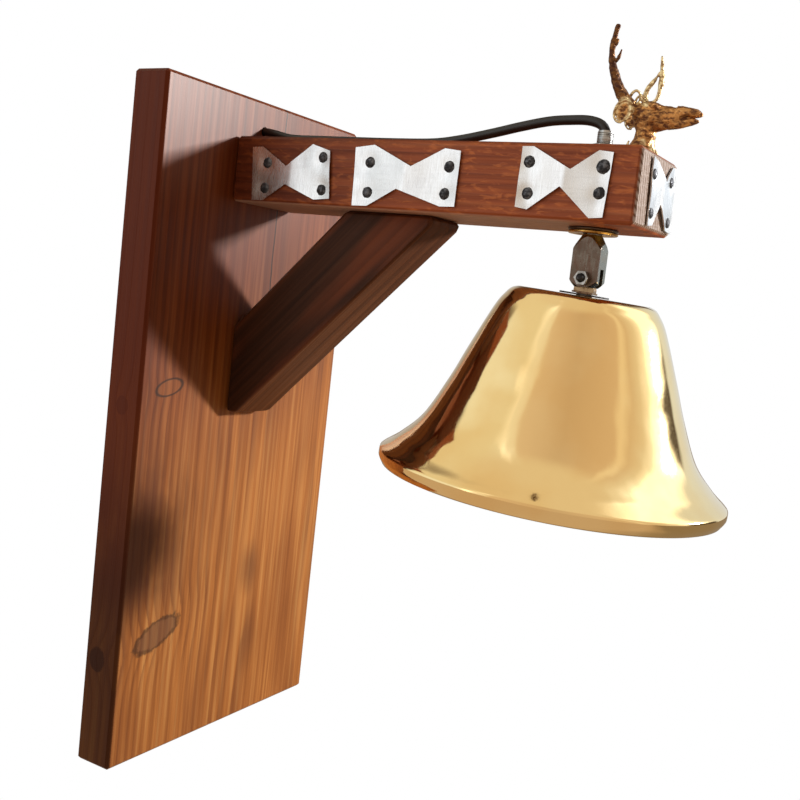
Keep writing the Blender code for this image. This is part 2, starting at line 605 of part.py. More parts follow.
def make_pivot_bolt():
    cheek = KNUCKLE_X / 2 + GAP
    end = cheek + PIVOT_NUT_HEIGHT + BOLT_END
    profile = [(0.0, end), (BOLT_RADIUS - 0.0008, end), (BOLT_RADIUS, end - 0.0008), (BOLT_RADIUS, -cheek),
               (BOLT_HEAD_RADIUS, -cheek), (BOLT_HEAD_RADIUS, -cheek - 0.7 * BOLT_HEAD_HEIGHT),
               (0.6 * BOLT_HEAD_RADIUS, -cheek - BOLT_HEAD_HEIGHT), (0.0, -cheek - BOLT_HEAD_HEIGHT)]
    place = Matrix.Translation(PIVOT) @ TO_LEFT
    turned("pivot_bolt", profile, STEEL, place, sides=20)
    level = place @ Matrix.Rotation(math.pi / 2, 4, "Z")     # flats above and below
    hex_nut("pivot_nut", PIVOT_NUT_FLATS, BOLT_RADIUS + GAP, PIVOT_NUT_HEIGHT,
            cheek + PIVOT_NUT_HEIGHT, STEEL, level)


# --- everything that tilts with the shade --------------------------------------------------------
def make_tongue(lean):
    """Eye in the fork, shoulder over the shade and hollow threaded stud below, as one casting."""
    angles = [math.pi * i / 10 for i in range(11)]
    eye = [(TONGUE_EYE * math.cos(a), TONGUE_EYE * math.sin(a)) for a in angles]
    half = SHOULDER_Y / 2
    low = -SHOULDER_DROP - SHOULDER_HEIGHT / 2
    outline = eye + [(-TONGUE_EYE, -0.0022), (-half, -0.0058), (-half, low), (half, low), (half, -0.0058),
                     (TONGUE_EYE, -0.0022)]
    place = lean @ SIDE_TURN
    tongue = link("knuckle_tongue", flat_mesh("tongue", outline, FORK_SLOT - 2 * GAP, ()), ZINC, place)
    shoulder_z = -SHOULDER_DROP - SHOULDER_HEIGHT / 2
    shoulder = link_cutter("shoulder", box_mesh("shoulder", (SHOULDER_X, SHOULDER_Y, SHOULDER_HEIGHT),
                                                (0, 0, shoulder_z)), lean)
    cut(tongue, shoulder, "UNION")
    stud_centre = Matrix.Translation((0, 0, shoulder_z - STUD_LENGTH / 2))
    stud = cylinders_mesh("stud", TUBE_RADIUS, STUD_LENGTH, [stud_centre], 24)
    cut(tongue, link_cutter("stud", stud, lean), "UNION")
    bore = Matrix.Translation((0, 0, shoulder_z - STUD_LENGTH / 2 - 0.002))
    cut(tongue, link_cutter("stud_bore", cylinders_mesh("stud_bore", STUD_BORE, STUD_LENGTH, [bore]), lean))
    cross = TO_LEFT
    hole = cylinders_mesh("eye_hole", BOLT_RADIUS + GAP, 2 * SHOULDER_X, [cross], 24)
    cut(tongue, link_cutter("eye_hole", hole, lean))


def make_shade(lean):
    ring("shade_washer", SHADE_WASHER_RADIUS, TUBE_RADIUS + GAP, SHADE_WASHER_THICKNESS,
         SHADE_PLATE + GAP + SHADE_WASHER_THICKNESS, ZINC, lean, 24)
    profile = [(TUBE_RADIUS + GAP, SHADE_PLATE)]
    profile += [(radius, SHADE_PLATE - drop) for radius, drop in SHADE_OUTLINE]
    turned("shade", profile, GOLD, lean, sides=48, wall=SHADE_WALL)
    hex_nut("shade_nut", LOCK_NUT_FLATS, TUBE_RADIUS + GAP, LOCK_NUT_HEIGHT, SHADE_NUT_TOP, ZINC, lean)


def make_lampholder(lean):
    cap = [(TUBE_RADIUS + GAP, CAP_TOP), (0.0090, CAP_TOP), (0.0150, CAP_TOP - 0.004),
           (HOLDER_RADIUS, CAP_TOP - 0.011), (HOLDER_RADIUS, CAP_TOP - CAP_HEIGHT)]
    turned("lampholder_cap", cap, BLACK_PLASTIC, lean, sides=24, wall=HOLDER_WALL)
    sleeve = [(0.0080, HOLDER_TOP), (HOLDER_RADIUS, HOLDER_TOP), (HOLDER_RADIUS, HOLDER_TOP - HOLDER_HEIGHT)]
    turned("lampholder_sleeve", sleeve, BLACK_PLASTIC, lean, sides=24, wall=HOLDER_WALL)
    inside = HOLDER_RADIUS - HOLDER_WALL - 2 * GAP
    ring("lampholder_insert", inside, 0.0030, INSERT_HEIGHT, INSERT_TOP, CERAMIC, lean, 24)
    ring("lampholder_shell", SHELL_RADIUS, SHELL_RADIUS - SHELL_WALL, SHELL_HEIGHT, SHELL_TOP, BRASS,
         lean, 24)
    contact = box_mesh("lampholder_contact", (0.0050, 0.0090, 0.0020), (0, 0.0036, SHELL_TOP - 0.0010))
    link("lampholder_contact", contact, BRASS, lean)


def make_bulb(lean):
    top = BULB_CAP_TOP
    cap = [(0.0, top), (0.0042, top), (0.0060, top - 0.0022), (BULB_CAP_RADIUS, top - 0.0050),
           (BULB_CAP_RADIUS, top - BULB_CAP_HEIGHT), (0.0, top - BULB_CAP_HEIGHT)]
    turned("bulb_cap", cap, ZINC, lean, sides=24)
    neck = top - BULB_CAP_HEIGHT - GAP
    centre = neck - BULB_LENGTH + BULB_RADIUS
    angles = [math.radians(52 - 142 * i / 9) for i in range(10)]
    globe = [(max(BULB_RADIUS * math.cos(a), 0.0), centre + BULB_RADIUS * math.sin(a)) for a in angles]
    turned("bulb_glass", [(BULB_NECK_RADIUS, neck), *globe], FROSTED_GLASS, lean, sides=20, wall=BULB_WALL)


def make_shade_lead(lean):
    start = SHADE_PLATE - 0.0005
    route = [lean @ Vector((0, 0, start + (INSERT_TOP + GAP - start) * i / 4)) for i in range(5)]
    make_cord("holder_lead", route, 0.0022)


# --- stag's head ---------------------------------------------------------------------------------
def stag_bones():
    """Points with a thickness each, and which earlier point each one grows from."""
    bones = [("neck", (0, 0.0010, -0.0040), 0.0098, None), ("throat", (0, -0.0010, 0.0080), 0.0094, "neck"),
             ("skull", (0, -0.0030, 0.0225), 0.0092, "throat"),
             ("brow", (0, -0.0110, 0.0215), 0.0076, "skull"),
             ("muzzle", (0, -0.0215, 0.0208), 0.0050, "brow"),
             ("nose", (0, -0.0300, 0.0205), 0.0034, "muzzle")]
    for side, sign in (("left", -1), ("right", 1)):
        rows = [("ear", (0.0085, 0.0030, 0.0270), 0.0024, "skull"),
                ("ear_leaf", (0.0130, 0.0065, 0.0285), 0.0036, "ear"),
                ("ear_tip", (0.0185, 0.0100, 0.0300), 0.0014, "ear_leaf"),
                ("burr", (0.0052, -0.0030, 0.0310), 0.0028, "skull"),
                ("beam_low", (0.0090, 0.0070, 0.0370), 0.0024, "burr"),
                ("beam_mid", (0.0120, 0.0130, 0.0460), 0.0022, "beam_low"),
                ("beam_high", (0.0145, 0.0160, 0.0560), 0.0019, "beam_mid"),
                ("beam_upper", (0.0140, 0.0165, 0.0660), 0.0015, "beam_high"),
                ("beam_tip", (0.0115, 0.0150, 0.0740), 0.0008, "beam_upper"),
                ("brow_tine", (0.0105, -0.0020, 0.0450), 0.0015, "beam_low"),
                ("brow_tip", (0.0110, -0.0055, 0.0510), 0.0008, "brow_tine"),
                ("fork_tine", (0.0135, 0.0090, 0.0620), 0.0014, "beam_high"),
                ("fork_tip", (0.0130, 0.0050, 0.0680), 0.0008, "fork_tine")]
        for name, (across, along, up), thick, parent in rows:
            owner = parent if parent == "skull" else f"{side}_{parent}"
            bones.append((f"{side}_{name}", (sign * across, along, up), thick, owner))
    return bones


def make_stag():
    """A skinned stick figure, cut flat below, with a cast peg that plugs into the beam."""
    bones = stag_bones()
    order = {name: index for index, (name, _, _, _) in enumerate(bones)}
    mesh = bpy.data.meshes.new("stag_head")
    mesh.from_pydata([place for _, place, _, _ in bones],
                     [(order[parent], order[name]) for name, _, _, parent in bones if parent], [])
    place = Matrix.Translation((BEAM_X, BOARD_FACE - STAG_REACH, BEAM_TOP))
    stag = link("stag_head", mesh, BRASS, place)
    skin = stag.modifiers.new("skin", "SKIN")
    skin.use_smooth_shade = False
    for vertex, (_, _, thick, _) in zip(mesh.skin_vertices[0].data, bones):
        vertex.radius = (thick, thick)
    mesh.skin_vertices[0].data[0].use_root = True
    smooth = stag.modifiers.new("smooth", "SUBSURF")
    smooth.levels = 1
    smooth.render_levels = 1
    ground = box_mesh("stag_ground", (0.1, 0.1, 0.05), (0, 0, GAP - 0.025))
    cut(stag, link_cutter("stag_ground", ground, place))
    depth = STAG_PEG_LENGTH + GAP
    peg = Matrix.Translation((0, 0, 0.002 - depth / 2))
    pin = cylinders_mesh("stag_peg", STAG_PEG_RADIUS, depth, [peg])
    cut(stag, link_cutter("stag_peg", pin, place), "UNION")


# --- the lamp ------------------------------------------------------------------------------------
clear_scene()
LAMP = collection("wall_lamp")
CUTTERS = collection("cutters", hidden=True)

PINE = material("pine", (0.62, 0.36, 0.16), 0.55)
BEAM_WOOD = material("stained_wood", (0.34, 0.13, 0.06), 0.50)
ALUMINIUM = material("aluminium_sheet", (0.82, 0.83, 0.84), 0.30, 1.0)
NAIL_IRON = material("nail_iron", (0.09, 0.09, 0.10), 0.55, 1.0)
STEEL = material("steel", (0.36, 0.34, 0.33), 0.45, 1.0)
ZINC = material("zinc_steel", (0.55, 0.56, 0.57), 0.35, 1.0)
GOLD = material("gold_mirror", (0.90, 0.62, 0.24), 0.06, 1.0)
BRASS = material("brass", (0.55, 0.38, 0.16), 0.35, 1.0)
BLACK_PLASTIC = material("black_plastic", (0.02, 0.02, 0.02), 0.45)
WHITE_PLASTIC = material("white_plastic", (0.85, 0.85, 0.82), 0.40)
CERAMIC = material("ceramic", (0.88, 0.87, 0.84), 0.30)
FROSTED_GLASS = material("frosted_glass", (0.92, 0.92, 0.90), 0.35)

backboard = make_backboard()
crossbeam = make_beam()
diagonal = make_brace()
fix_wood(backboard, crossbeam, diagonal)
make_plates(crossbeam)
make_hangers(backboard)
make_wiring()
make_tube()
make_knuckle()
make_pivot_bolt()

SHADE_FRAME = Matrix.Translation(PIVOT) @ Matrix.Rotation(SHADE_LEAN, 4, "X")
make_tongue(SHADE_FRAME)
make_shade(SHADE_FRAME)
make_lampholder(SHADE_FRAME)
make_bulb(SHADE_FRAME)
make_shade_lead(SHADE_FRAME)
make_stag()
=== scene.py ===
"""The look of a rustic wall lamp: a pine board, a stained beam on a brace, nailed aluminium bow ties,
a cast stag's head, and a gold bell shade hung from a swivelling knuckle."""

import json
import math

import bmesh
import bpy
from mathutils import Matrix, Vector, noise
from mathutils.kdtree import KDTree


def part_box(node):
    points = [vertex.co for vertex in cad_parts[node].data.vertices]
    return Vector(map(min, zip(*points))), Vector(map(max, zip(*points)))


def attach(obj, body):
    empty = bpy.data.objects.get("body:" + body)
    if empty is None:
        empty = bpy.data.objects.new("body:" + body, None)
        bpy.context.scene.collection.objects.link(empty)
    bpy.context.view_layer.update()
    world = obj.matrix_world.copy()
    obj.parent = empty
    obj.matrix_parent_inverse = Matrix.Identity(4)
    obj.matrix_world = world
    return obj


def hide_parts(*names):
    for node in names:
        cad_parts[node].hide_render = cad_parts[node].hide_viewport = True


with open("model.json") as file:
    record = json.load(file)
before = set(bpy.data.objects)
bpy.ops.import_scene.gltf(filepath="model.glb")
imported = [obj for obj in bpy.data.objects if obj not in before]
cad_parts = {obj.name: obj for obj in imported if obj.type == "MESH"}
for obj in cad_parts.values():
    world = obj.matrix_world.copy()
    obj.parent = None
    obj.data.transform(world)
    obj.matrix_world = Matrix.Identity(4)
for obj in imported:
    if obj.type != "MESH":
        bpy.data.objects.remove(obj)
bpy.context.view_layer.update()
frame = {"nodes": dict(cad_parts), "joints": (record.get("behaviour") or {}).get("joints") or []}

# --- places and sizes that the frame gives --------------------------------------------------------
BOARD_LOW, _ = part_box("backboard")
BEAM_LOW, BEAM_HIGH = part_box("beam")
BRACE_LOW, BRACE_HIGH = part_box("brace")
BEAM_X = (BEAM_LOW.x + BEAM_HIGH.x) / 2
BEAM_TOP = BEAM_HIGH.z
BEAM_UNDERSIDE = BEAM_LOW.z
TUBE_LOW, TUBE_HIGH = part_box("threaded_tube")
TUBE_X = (TUBE_LOW.x + TUBE_HIGH.x) / 2
TUBE_Y = (TUBE_LOW.y + TUBE_HIGH.y) / 2
PIVOT = Vector(next(joint["pos_m"] for joint in frame["joints"] if joint["name"] == "shade_tilt"))
SHADE_LEAN = math.radians(3.6)
HANG = Matrix.Translation(PIVOT) @ Matrix.Rotation(SHADE_LEAN, 4, "X")
TO_LEFT = Matrix(((0, 0, -1), (0, 1, 0), (1, 0, 0))).to_4x4()
GAP = 0.0003

CABLE_RADIUS = 0.0030
CABLE_ROUTE = [(-0.0255, -0.0080, 0.2130), (-0.0200, -0.0078, 0.2130), (-0.0145, -0.0087, 0.2130),
               (-0.0108, -0.0115, 0.2130), (-0.0094, -0.0155, 0.2130), (-0.0092, -0.0210, 0.2130),
               (-0.0092, -0.0300, 0.2130), (-0.0091, -0.0400, 0.2115), (-0.0087, -0.0540, 0.2088),
               (-0.0080, -0.0740, 0.2084), (-0.0062, -0.1050, 0.2084), (-0.0050, -0.1400, 0.2084),
               (-0.0044, -0.1680, 0.2090), (-0.0042, -0.1880, 0.2116), (-0.0042, -0.2100, 0.2160),
               (-0.0042, -0.2300, 0.2205), (-0.0042, -0.2480, 0.2238), (-0.0042, -0.2620, 0.2247),
               (-0.0042, -0.2730, 0.2246), (-0.0042, -0.2808, 0.2226), (-0.0042, -0.2845, 0.2190),
               (-0.0042, -0.2853, 0.2140), (-0.0042, -0.2852, 0.2020), (-0.0042, -0.2852, 0.1700),
               (-0.0042, -0.2852, 0.1510)]
CABLE_STEPS = 160
STAG_PLACE = Vector((BEAM_X, BOARD_LOW.y - 0.2780, BEAM_TOP + GAP))
STAG_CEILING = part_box("stag_head")[1].z - BEAM_TOP - GAP


# --- the camera -----------------------------------------------------------------------------------
CAMERA_LENS = 46.5
CAMERA_SENSOR = 36.0
CAMERA_PLACE = (-0.6063, -0.5123, 0.1046)
# which way the camera's own right, up and back point
CAMERA_AXES = ((0.50708, -0.85471, 0.11111), (0.02692, 0.14456, 0.98913), (-0.86148, -0.49857, 0.09631))


def make_camera():
    data = bpy.data.cameras.new("camera")
    data.lens = CAMERA_LENS
    data.sensor_width = CAMERA_SENSOR
    camera = bpy.data.objects.new("camera", data)
    turn = Matrix(CAMERA_AXES).transposed()
    camera.matrix_world = (Matrix.Translation(CAMERA_PLACE)
                           @ turn.to_quaternion().to_matrix().to_4x4())
    bpy.context.scene.collection.objects.link(camera)
    bpy.context.scene.camera = camera


def heading(azimuth, elevation):
    """The way towards a light that stands at this azimuth, 0 in front and 90 to the right."""
    a, e = (math.radians(azimuth), math.radians(elevation))
    return Vector((math.sin(a) * math.cos(e), -math.cos(a) * math.cos(e), math.sin(e)))


# --- node helpers ---------------------------------------------------------------------------------
def tint(red, green, blue):
    """A paint-chart colour, 0 to 255 a channel, as the linear colour that shaders use."""
    parts = [value / 255 for value in (red, green, blue)]
    return (*[p / 12.92 if p <= 0.04045 else ((p + 0.055) / 1.055) ** 2.4 for p in parts], 1.0)


class Field:
    """A value that varies over a node tree. Sums and products written with it add the nodes for them."""

    def __init__(self, socket):
        self.socket = socket

    def __add__(self, other):
        return maths("ADD", self, other)

    def __sub__(self, other):
        return maths("SUBTRACT", self, other)

    def __rsub__(self, other):
        return maths("SUBTRACT", other, self)

    def __mul__(self, other):
        return maths("MULTIPLY", self, other)

    def __truediv__(self, other):
        return maths("DIVIDE", self, other)


def socket_of(value):
    """The socket behind a field, or nothing for a plain number, colour or vector."""
    if isinstance(value, Field):
        return value.socket
    return value if isinstance(value, bpy.types.NodeSocket) else None


def tree_of(*values):
    """The node tree that the fields among these values belong to."""
    return next(socket_of(value).id_data for value in values if socket_of(value))


def fields(sockets):
    return {socket.name: Field(socket) for socket in sockets}


def feed(socket, value):
    """Links a field to a socket, or sets the socket to a plain value."""
    if socket_of(value):
        socket.id_data.links.new(socket_of(value), socket)
    elif value is not None:
        socket.default_value = value


def add_node(tree, kind, sockets=(), **settings):
    made = tree.nodes.new(kind)
    for name, value in settings.items():
        setattr(made, name, value)
    for name, value in dict(sockets).items():
        feed(made.inputs[name], value)
    return made


def maths(operation, *values):
    made = add_node(tree_of(*values), "ShaderNodeMath", dict(enumerate(values)), operation=operation)
    return Field(made.outputs[0])


def vector_maths(operation, *values):
    made = add_node(tree_of(*values), "ShaderNodeVectorMath", dict(enumerate(values)), operation=operation)
    return Field(made.outputs["Value" if operation in ("LENGTH", "DOT_PRODUCT") else "Vector"])


def mixed(share, first, second, mode="MIX"):
    """Two colours, with this share of the second."""
    made = add_node(tree_of(share, first, second), "ShaderNodeMix", data_type="RGBA", blend_type=mode)
    for index, value in ((0, share), (6, first), (7, second)):
        feed(made.inputs[index], value)
    return Field(made.outputs[2])


def eased(value, low, high, start=0.0, end=1.0):
    """Goes smoothly from start to end while the value goes from low to high."""
    ends = {"Value": value, "From Min": low, "From Max": high, "To Min": start, "To Max": end}
    made = add_node(tree_of(value), "ShaderNodeMapRange", interpolation_type="SMOOTHSTEP")
    for name, number in ends.items():
        feed(made.inputs[name], number)
    return Field(made.outputs["Result"])


def placed(vector, location=(0, 0, 0), rotation=(0, 0, 0), scale=(1, 1, 1)):
    sockets = {"Vector": vector, "Location": location, "Rotation": rotation, "Scale": scale}
    return Field(add_node(tree_of(vector), "ShaderNodeMapping", sockets).outputs["Vector"])


def cloud(vector, scale, detail=2.0, roughness=0.5, distortion=0.0):
    sockets = {"Vector": vector, "Scale": scale, "Detail": detail, "Roughness": roughness,
               "Distortion": distortion}
    return Field(add_node(tree_of(vector), "ShaderNodeTexNoise", sockets).outputs["Fac"])


def split(vector):
    """The X, Y and Z of a vector."""
    return fields(add_node(tree_of(vector), "ShaderNodeSeparateXYZ", {"Vector": vector}).outputs)


def ramp(factor, *stops):
    made = add_node(tree_of(factor), "ShaderNodeValToRGB", {"Fac": factor})
    elements = made.color_ramp.elements
    elements[0].position, elements[0].color = stops[0]
    elements[1].position, elements[1].color = stops[-1]
    for position, colour in stops[1:-1]:
        elements.new(position).color = colour
    return Field(made.outputs["Color"])


def make_group(name, takes, gives):
    """An empty shader group: (label, default) pairs in, and labels of plain numbers out."""
    tree = bpy.data.node_groups.new(name, "ShaderNodeTree")
    for label, default in takes:
        kind = "NodeSocketVector" if isinstance(default, tuple) else "NodeSocketFloat"
        socket = tree.interface.new_socket(label, in_out="INPUT", socket_type=kind)
        socket.default_value = default
    for label in gives:
        tree.interface.new_socket(label, in_out="OUTPUT", socket_type="NodeSocketFloat")
    return tree, fields(tree.nodes.new("NodeGroupInput").outputs), tree.nodes.new("NodeGroupOutput").inputs


def use_group(group, **sockets):
    """Places a group; spaces in its socket names are written as underscores."""
    made = add_node(tree_of(*sockets.values()), "ShaderNodeGroup", node_tree=group)
    for name, value in sockets.items():
        feed(made.inputs[name.replace("_", " ")], value)
    return fields(made.outputs)


def new_material(name):
    """A material with its shader and the object's own coordinates."""
    material = bpy.data.materials.new(name)
    material.use_nodes = True
    shader = material.node_tree.nodes["Principled BSDF"]
    return material, shader, Field(material.node_tree.nodes.new("ShaderNodeTexCoord").outputs["Object"])


def paint(shader, **values):
    """Feeds the shader; spaces in its socket names are written as underscores."""
    for name, value in values.items():
        feed(shader.inputs[name.replace("_", " ")], value)


def bump(shader, height, distance):
    sockets = {"Height": height, "Distance": distance, "Strength": 1.0}
    feed(shader.inputs["Normal"], add_node(shader.id_data, "ShaderNodeBump", sockets).outputs["Normal"])


# --- shared effects -------------------------------------------------------------------------------
def make_wood_grain():
    """Growth rings round a pith that runs along Z, with streaks and fine brushed fibres along it."""
    tree, takes, gives = make_group(
        "wood_grain",
        [("Vector", (0.0, 0.0, 0.0)), ("Pith", (0.0, 0.3, 0.0)), ("Ring Pitch", 0.005), ("Wander", 0.012),
         ("Lift", 0.0)],
        ["Rings", "Streaks", "Fibres", "Height"])
    vector = takes["Vector"]
    slow = cloud(placed(vector, scale=(10, 10, 2.4)), 1.0, 1.5, 0.45)
    wander = (slow - 0.5) * takes["Wander"]
    ripple = cloud(placed(vector, scale=(60, 60, 9)), 1.0, 2.0, 0.5)
    ripple = (ripple - 0.5) * 0.0026
    flat = vector_maths("MULTIPLY", vector_maths("SUBTRACT", vector, takes["Pith"]), (1, 1, 0))
    reach = vector_maths("LENGTH", flat)
    reach = reach + wander + (ripple + takes["Lift"])
    turn = maths("FRACT", reach / takes["Ring Pitch"])
    rings = eased(turn, 0.30, 0.86) * eased(turn, 0.88, 1.0, 1.0, 0.0)
    streaks = cloud(placed(vector, scale=(230, 230, 4.5)), 1.0, 4.0, 0.62)
    along = placed(vector, scale=(1500, 1500, 22))
    fibres = cloud(along, 1.0, 3.0, 0.6)
    height = rings * 0.55 + fibres * 0.9
    height = height + streaks * 0.5
    for label, value in (("Rings", rings), ("Streaks", streaks), ("Fibres", fibres), ("Height", height)):
        feed(gives[label], value)
    return tree


def make_knot():
    """One knot: an oval core with a thin rim, and the lift it gives to the rings that pass round it."""
    tree, takes, gives = make_group(
        "knot", [("Vector", (0.0, 0.0, 0.0)), ("Centre", (0.0, 0.0, 0.0)), ("Size", (0.01, 1.0, 0.006)),
                 ("Turn", (0.0, 0.0, 0.0)), ("Ragged", 0.2), ("Push", 0.01)],
        ["Core", "Rim", "Lift"])
    offset = vector_maths("SUBTRACT", takes["Vector"], takes["Centre"])
    turned = add_node(tree, "ShaderNodeVectorRotate", {"Vector": offset, "Rotation": takes["Turn"]},
                      rotation_type="EULER_XYZ").outputs["Vector"]
    reach = vector_maths("LENGTH", vector_maths("DIVIDE", turned, takes["Size"]))
    rough = cloud(takes["Vector"], 260.0, 3.0, 0.6)
    reach = reach + (rough - 0.5) * takes["Ragged"]
    feed(gives["Core"], eased(reach, 0.85, 1.0, 1.0, 0.0))
    rim = eased(reach, 0.80, 0.95) * eased(reach, 1.0, 1.18, 1.0, 0.0)
    feed(gives["Rim"], rim)
    fall = maths("EXPONENT", maths("POWER", reach, 2.0) * -0.22)
    feed(gives["Lift"], fall * takes["Push"])
    return tree


def make_patina():
    """Uneven tarnish, fine scratches and small pits for metal."""
    tree, takes, gives = make_group("patina", [("Vector", (0.0, 0.0, 0.0)), ("Spot Scale", 180.0),
                                               ("Scratch Scale", 900.0), ("Cover", 0.5)],
                                    ["Tarnish", "Scratches", "Pits"])
    spots = cloud(takes["Vector"], takes["Spot Scale"], 5.0, 0.62)
    low = 0.72 - takes["Cover"] * 0.45
    feed(gives["Tarnish"], eased(spots, low - 0.12, low + 0.12))
    drawn = placed(takes["Vector"], rotation=(0.5, 0.3, 0.8), scale=(1.0, 0.06, 1.0))
    feed(gives["Scratches"], eased(cloud(drawn, takes["Scratch Scale"], 2.0, 0.7), 0.52, 0.75))
    pits = add_node(tree, "ShaderNodeTexVoronoi", {"Vector": takes["Vector"],
                                                   "Scale": takes["Scratch Scale"]})
    feed(gives["Pits"], eased(pits.outputs["Distance"], 0.10, 0.30, 1.0, 0.0))
    return tree


WOOD_GRAIN = make_wood_grain()
KNOT = make_knot()
PATINA = make_patina()


# --- materials ------------------------------------------------------------------------------------
def pine_board():
    """Oiled pine: golden, redder and darker towards the top left, partly as painted shade, with fine straight
    grain, two knots, darker cloudy spots, a painted shadow of the bell at the lower left, and a left side
    painted darker towards the bottom as painted shade.
    """
    material, shader, place = new_material("pine_board")
    knots = [((-0.0835, 0.0, 0.0285), (0.0128, 0.4, 0.0056), (0.0, 0.22, 0.0), 0.10, 0.0022),
             ((-0.0745, 0.0, -0.1460), (0.0215, 0.4, 0.0092), (0.0, 0.34, 0.0), 0.60, 0.0052),
             ((-0.2, -0.0150, 0.0150), (0.5, 0.0050, 0.0060), (0.0, 0.0, 0.0), 0.25, 0.0020),
             ((-0.2, -0.0120, -0.1600), (0.5, 0.0065, 0.0080), (0.0, 0.0, 0.0), 0.4, 0.0030)]
    made = [use_group(KNOT, Vector=place, Centre=centre, Size=size, Turn=turn, Ragged=ragged, Push=push)
            for centre, size, turn, ragged, push in knots]
    lift = made[0]["Lift"]
    for knot in made[1:]:
        lift = lift + knot["Lift"]
    grain = use_group(WOOD_GRAIN, Vector=place, Pith=(0.060, 0.110, 0.0), Ring_Pitch=0.0054,
                      Wander=0.012, Lift=lift)
    golden = ramp(grain["Streaks"], (0.22, tint(122, 66, 26)), (0.5, tint(178, 110, 50)),
                  (0.76, tint(208, 148, 82)))
    broad = eased(cloud(placed(place, scale=(34, 34, 5.5)), 1.0, 2.0, 0.5), 0.38, 0.66)
    colour = mixed(broad * 0.40, golden, tint(118, 60, 24))
    patchy = eased(cloud(placed(place, scale=(22, 22, 9)), 1.0, 2.0, 0.5), 0.35, 0.65, 0.20, 0.58)
    colour = mixed(grain["Rings"] * patchy, colour, tint(106, 54, 24))
    colour = mixed(eased(grain["Fibres"], 0.52, 0.8, 0.0, 0.42), colour, tint(96, 48, 20))
    axes = split(place)
    # Redder and darker towards the top left: partly the wood's own tone, partly painted shade.
    high = eased(axes["Z"] + axes["X"] * -0.6, -0.06, 0.14)
    colour = mixed(high * 0.80, colour, tint(158, 90, 56), "MULTIPLY")
    drift = (cloud(placed(place, scale=(1, 1, 28)), 1.0, 3.0) - 0.5) * 0.005
    off = maths("ABSOLUTE", axes["X"] + drift - 0.0145)
    check = eased(off, 0.0003, 0.0008, 1.0, 0.0) * eased(axes["Z"], 0.092, 0.105)
    colour = mixed(check * 0.9, colour, tint(34, 16, 8))
    clouds = cloud(placed(place, scale=(20, 20, 9)), 1.0, 4.0, 0.6)
    # Painted shadow of the bell: a cloudy dark patch on the left of the board, low down.
    left = eased(axes["X"], -0.100, -0.015, 1.0, 0.0)
    middle = eased(axes["Z"], -0.150, -0.100) * eased(axes["Z"], -0.06, 0.01, 1.0, 0.0)
    painted_bell_shadow = left * middle * eased(clouds, 0.28, 0.56)
    colour = mixed(painted_bell_shadow * 0.84, colour, tint(80, 35, 14))
    for centre, size, share in (((0.0240, -0.022, -0.1150), (0.0120, 0.4, 0.0200), 0.55),
                                ((0.0300, -0.022, -0.1750), (0.0140, 0.4, 0.0260), 0.35),
                                ((-0.0080, -0.022, -0.0900), (0.0100, 0.4, 0.0300), 0.25)):
        reach = vector_maths("LENGTH", vector_maths("DIVIDE", vector_maths("SUBTRACT", place, centre), size))
        spot = eased(reach + clouds * 1.2, 0.6, 1.9, 1.0, 0.0)
        colour = mixed(spot * share, colour, tint(92, 50, 26))
    for knot, core, rim, inner in zip(made, (0.22, 0.62, 0.75, 0.85), (0.85, 0.70, 0.8, 0.8),
                                      (tint(150, 92, 48), tint(92, 62, 46), tint(58, 26, 12),
                                       tint(40, 20, 12))):
        colour = mixed(knot["Core"] * core, colour, inner)
        colour = mixed(knot["Rim"] * rim, colour, tint(44, 22, 10))
    # The left side: a darker stain, painted darker still towards the bottom as painted shade.
    side = eased(axes["X"], BOARD_LOW.x + 0.0012, BOARD_LOW.x + 0.0034, 1.0, 0.0)
    side_stain_and_painted_shade = mixed(eased(axes["Z"], -0.17, 0.02, 1.0, 0.0), tint(86, 31, 9), tint(44, 15, 4))
    colour = mixed(side * 0.86, colour, side_stain_and_painted_shade)
    paint(shader, Base_Color=colour, Roughness=eased(grain["Streaks"], 0.3, 0.7, 0.46, 0.60),
          Specular_IOR_Level=0.12)
    oiled = eased(grain["Streaks"], 0.3, 0.7, 0.44, 0.60) * eased(axes["Z"], 0.08, 0.20, 1.0, 1.25)
    paint(shader, Coat_Weight=oiled * (1.0 - side), Coat_Roughness=0.38)
    bump(shader, grain["Height"] - check * 3.0, 0.00018)
    return material


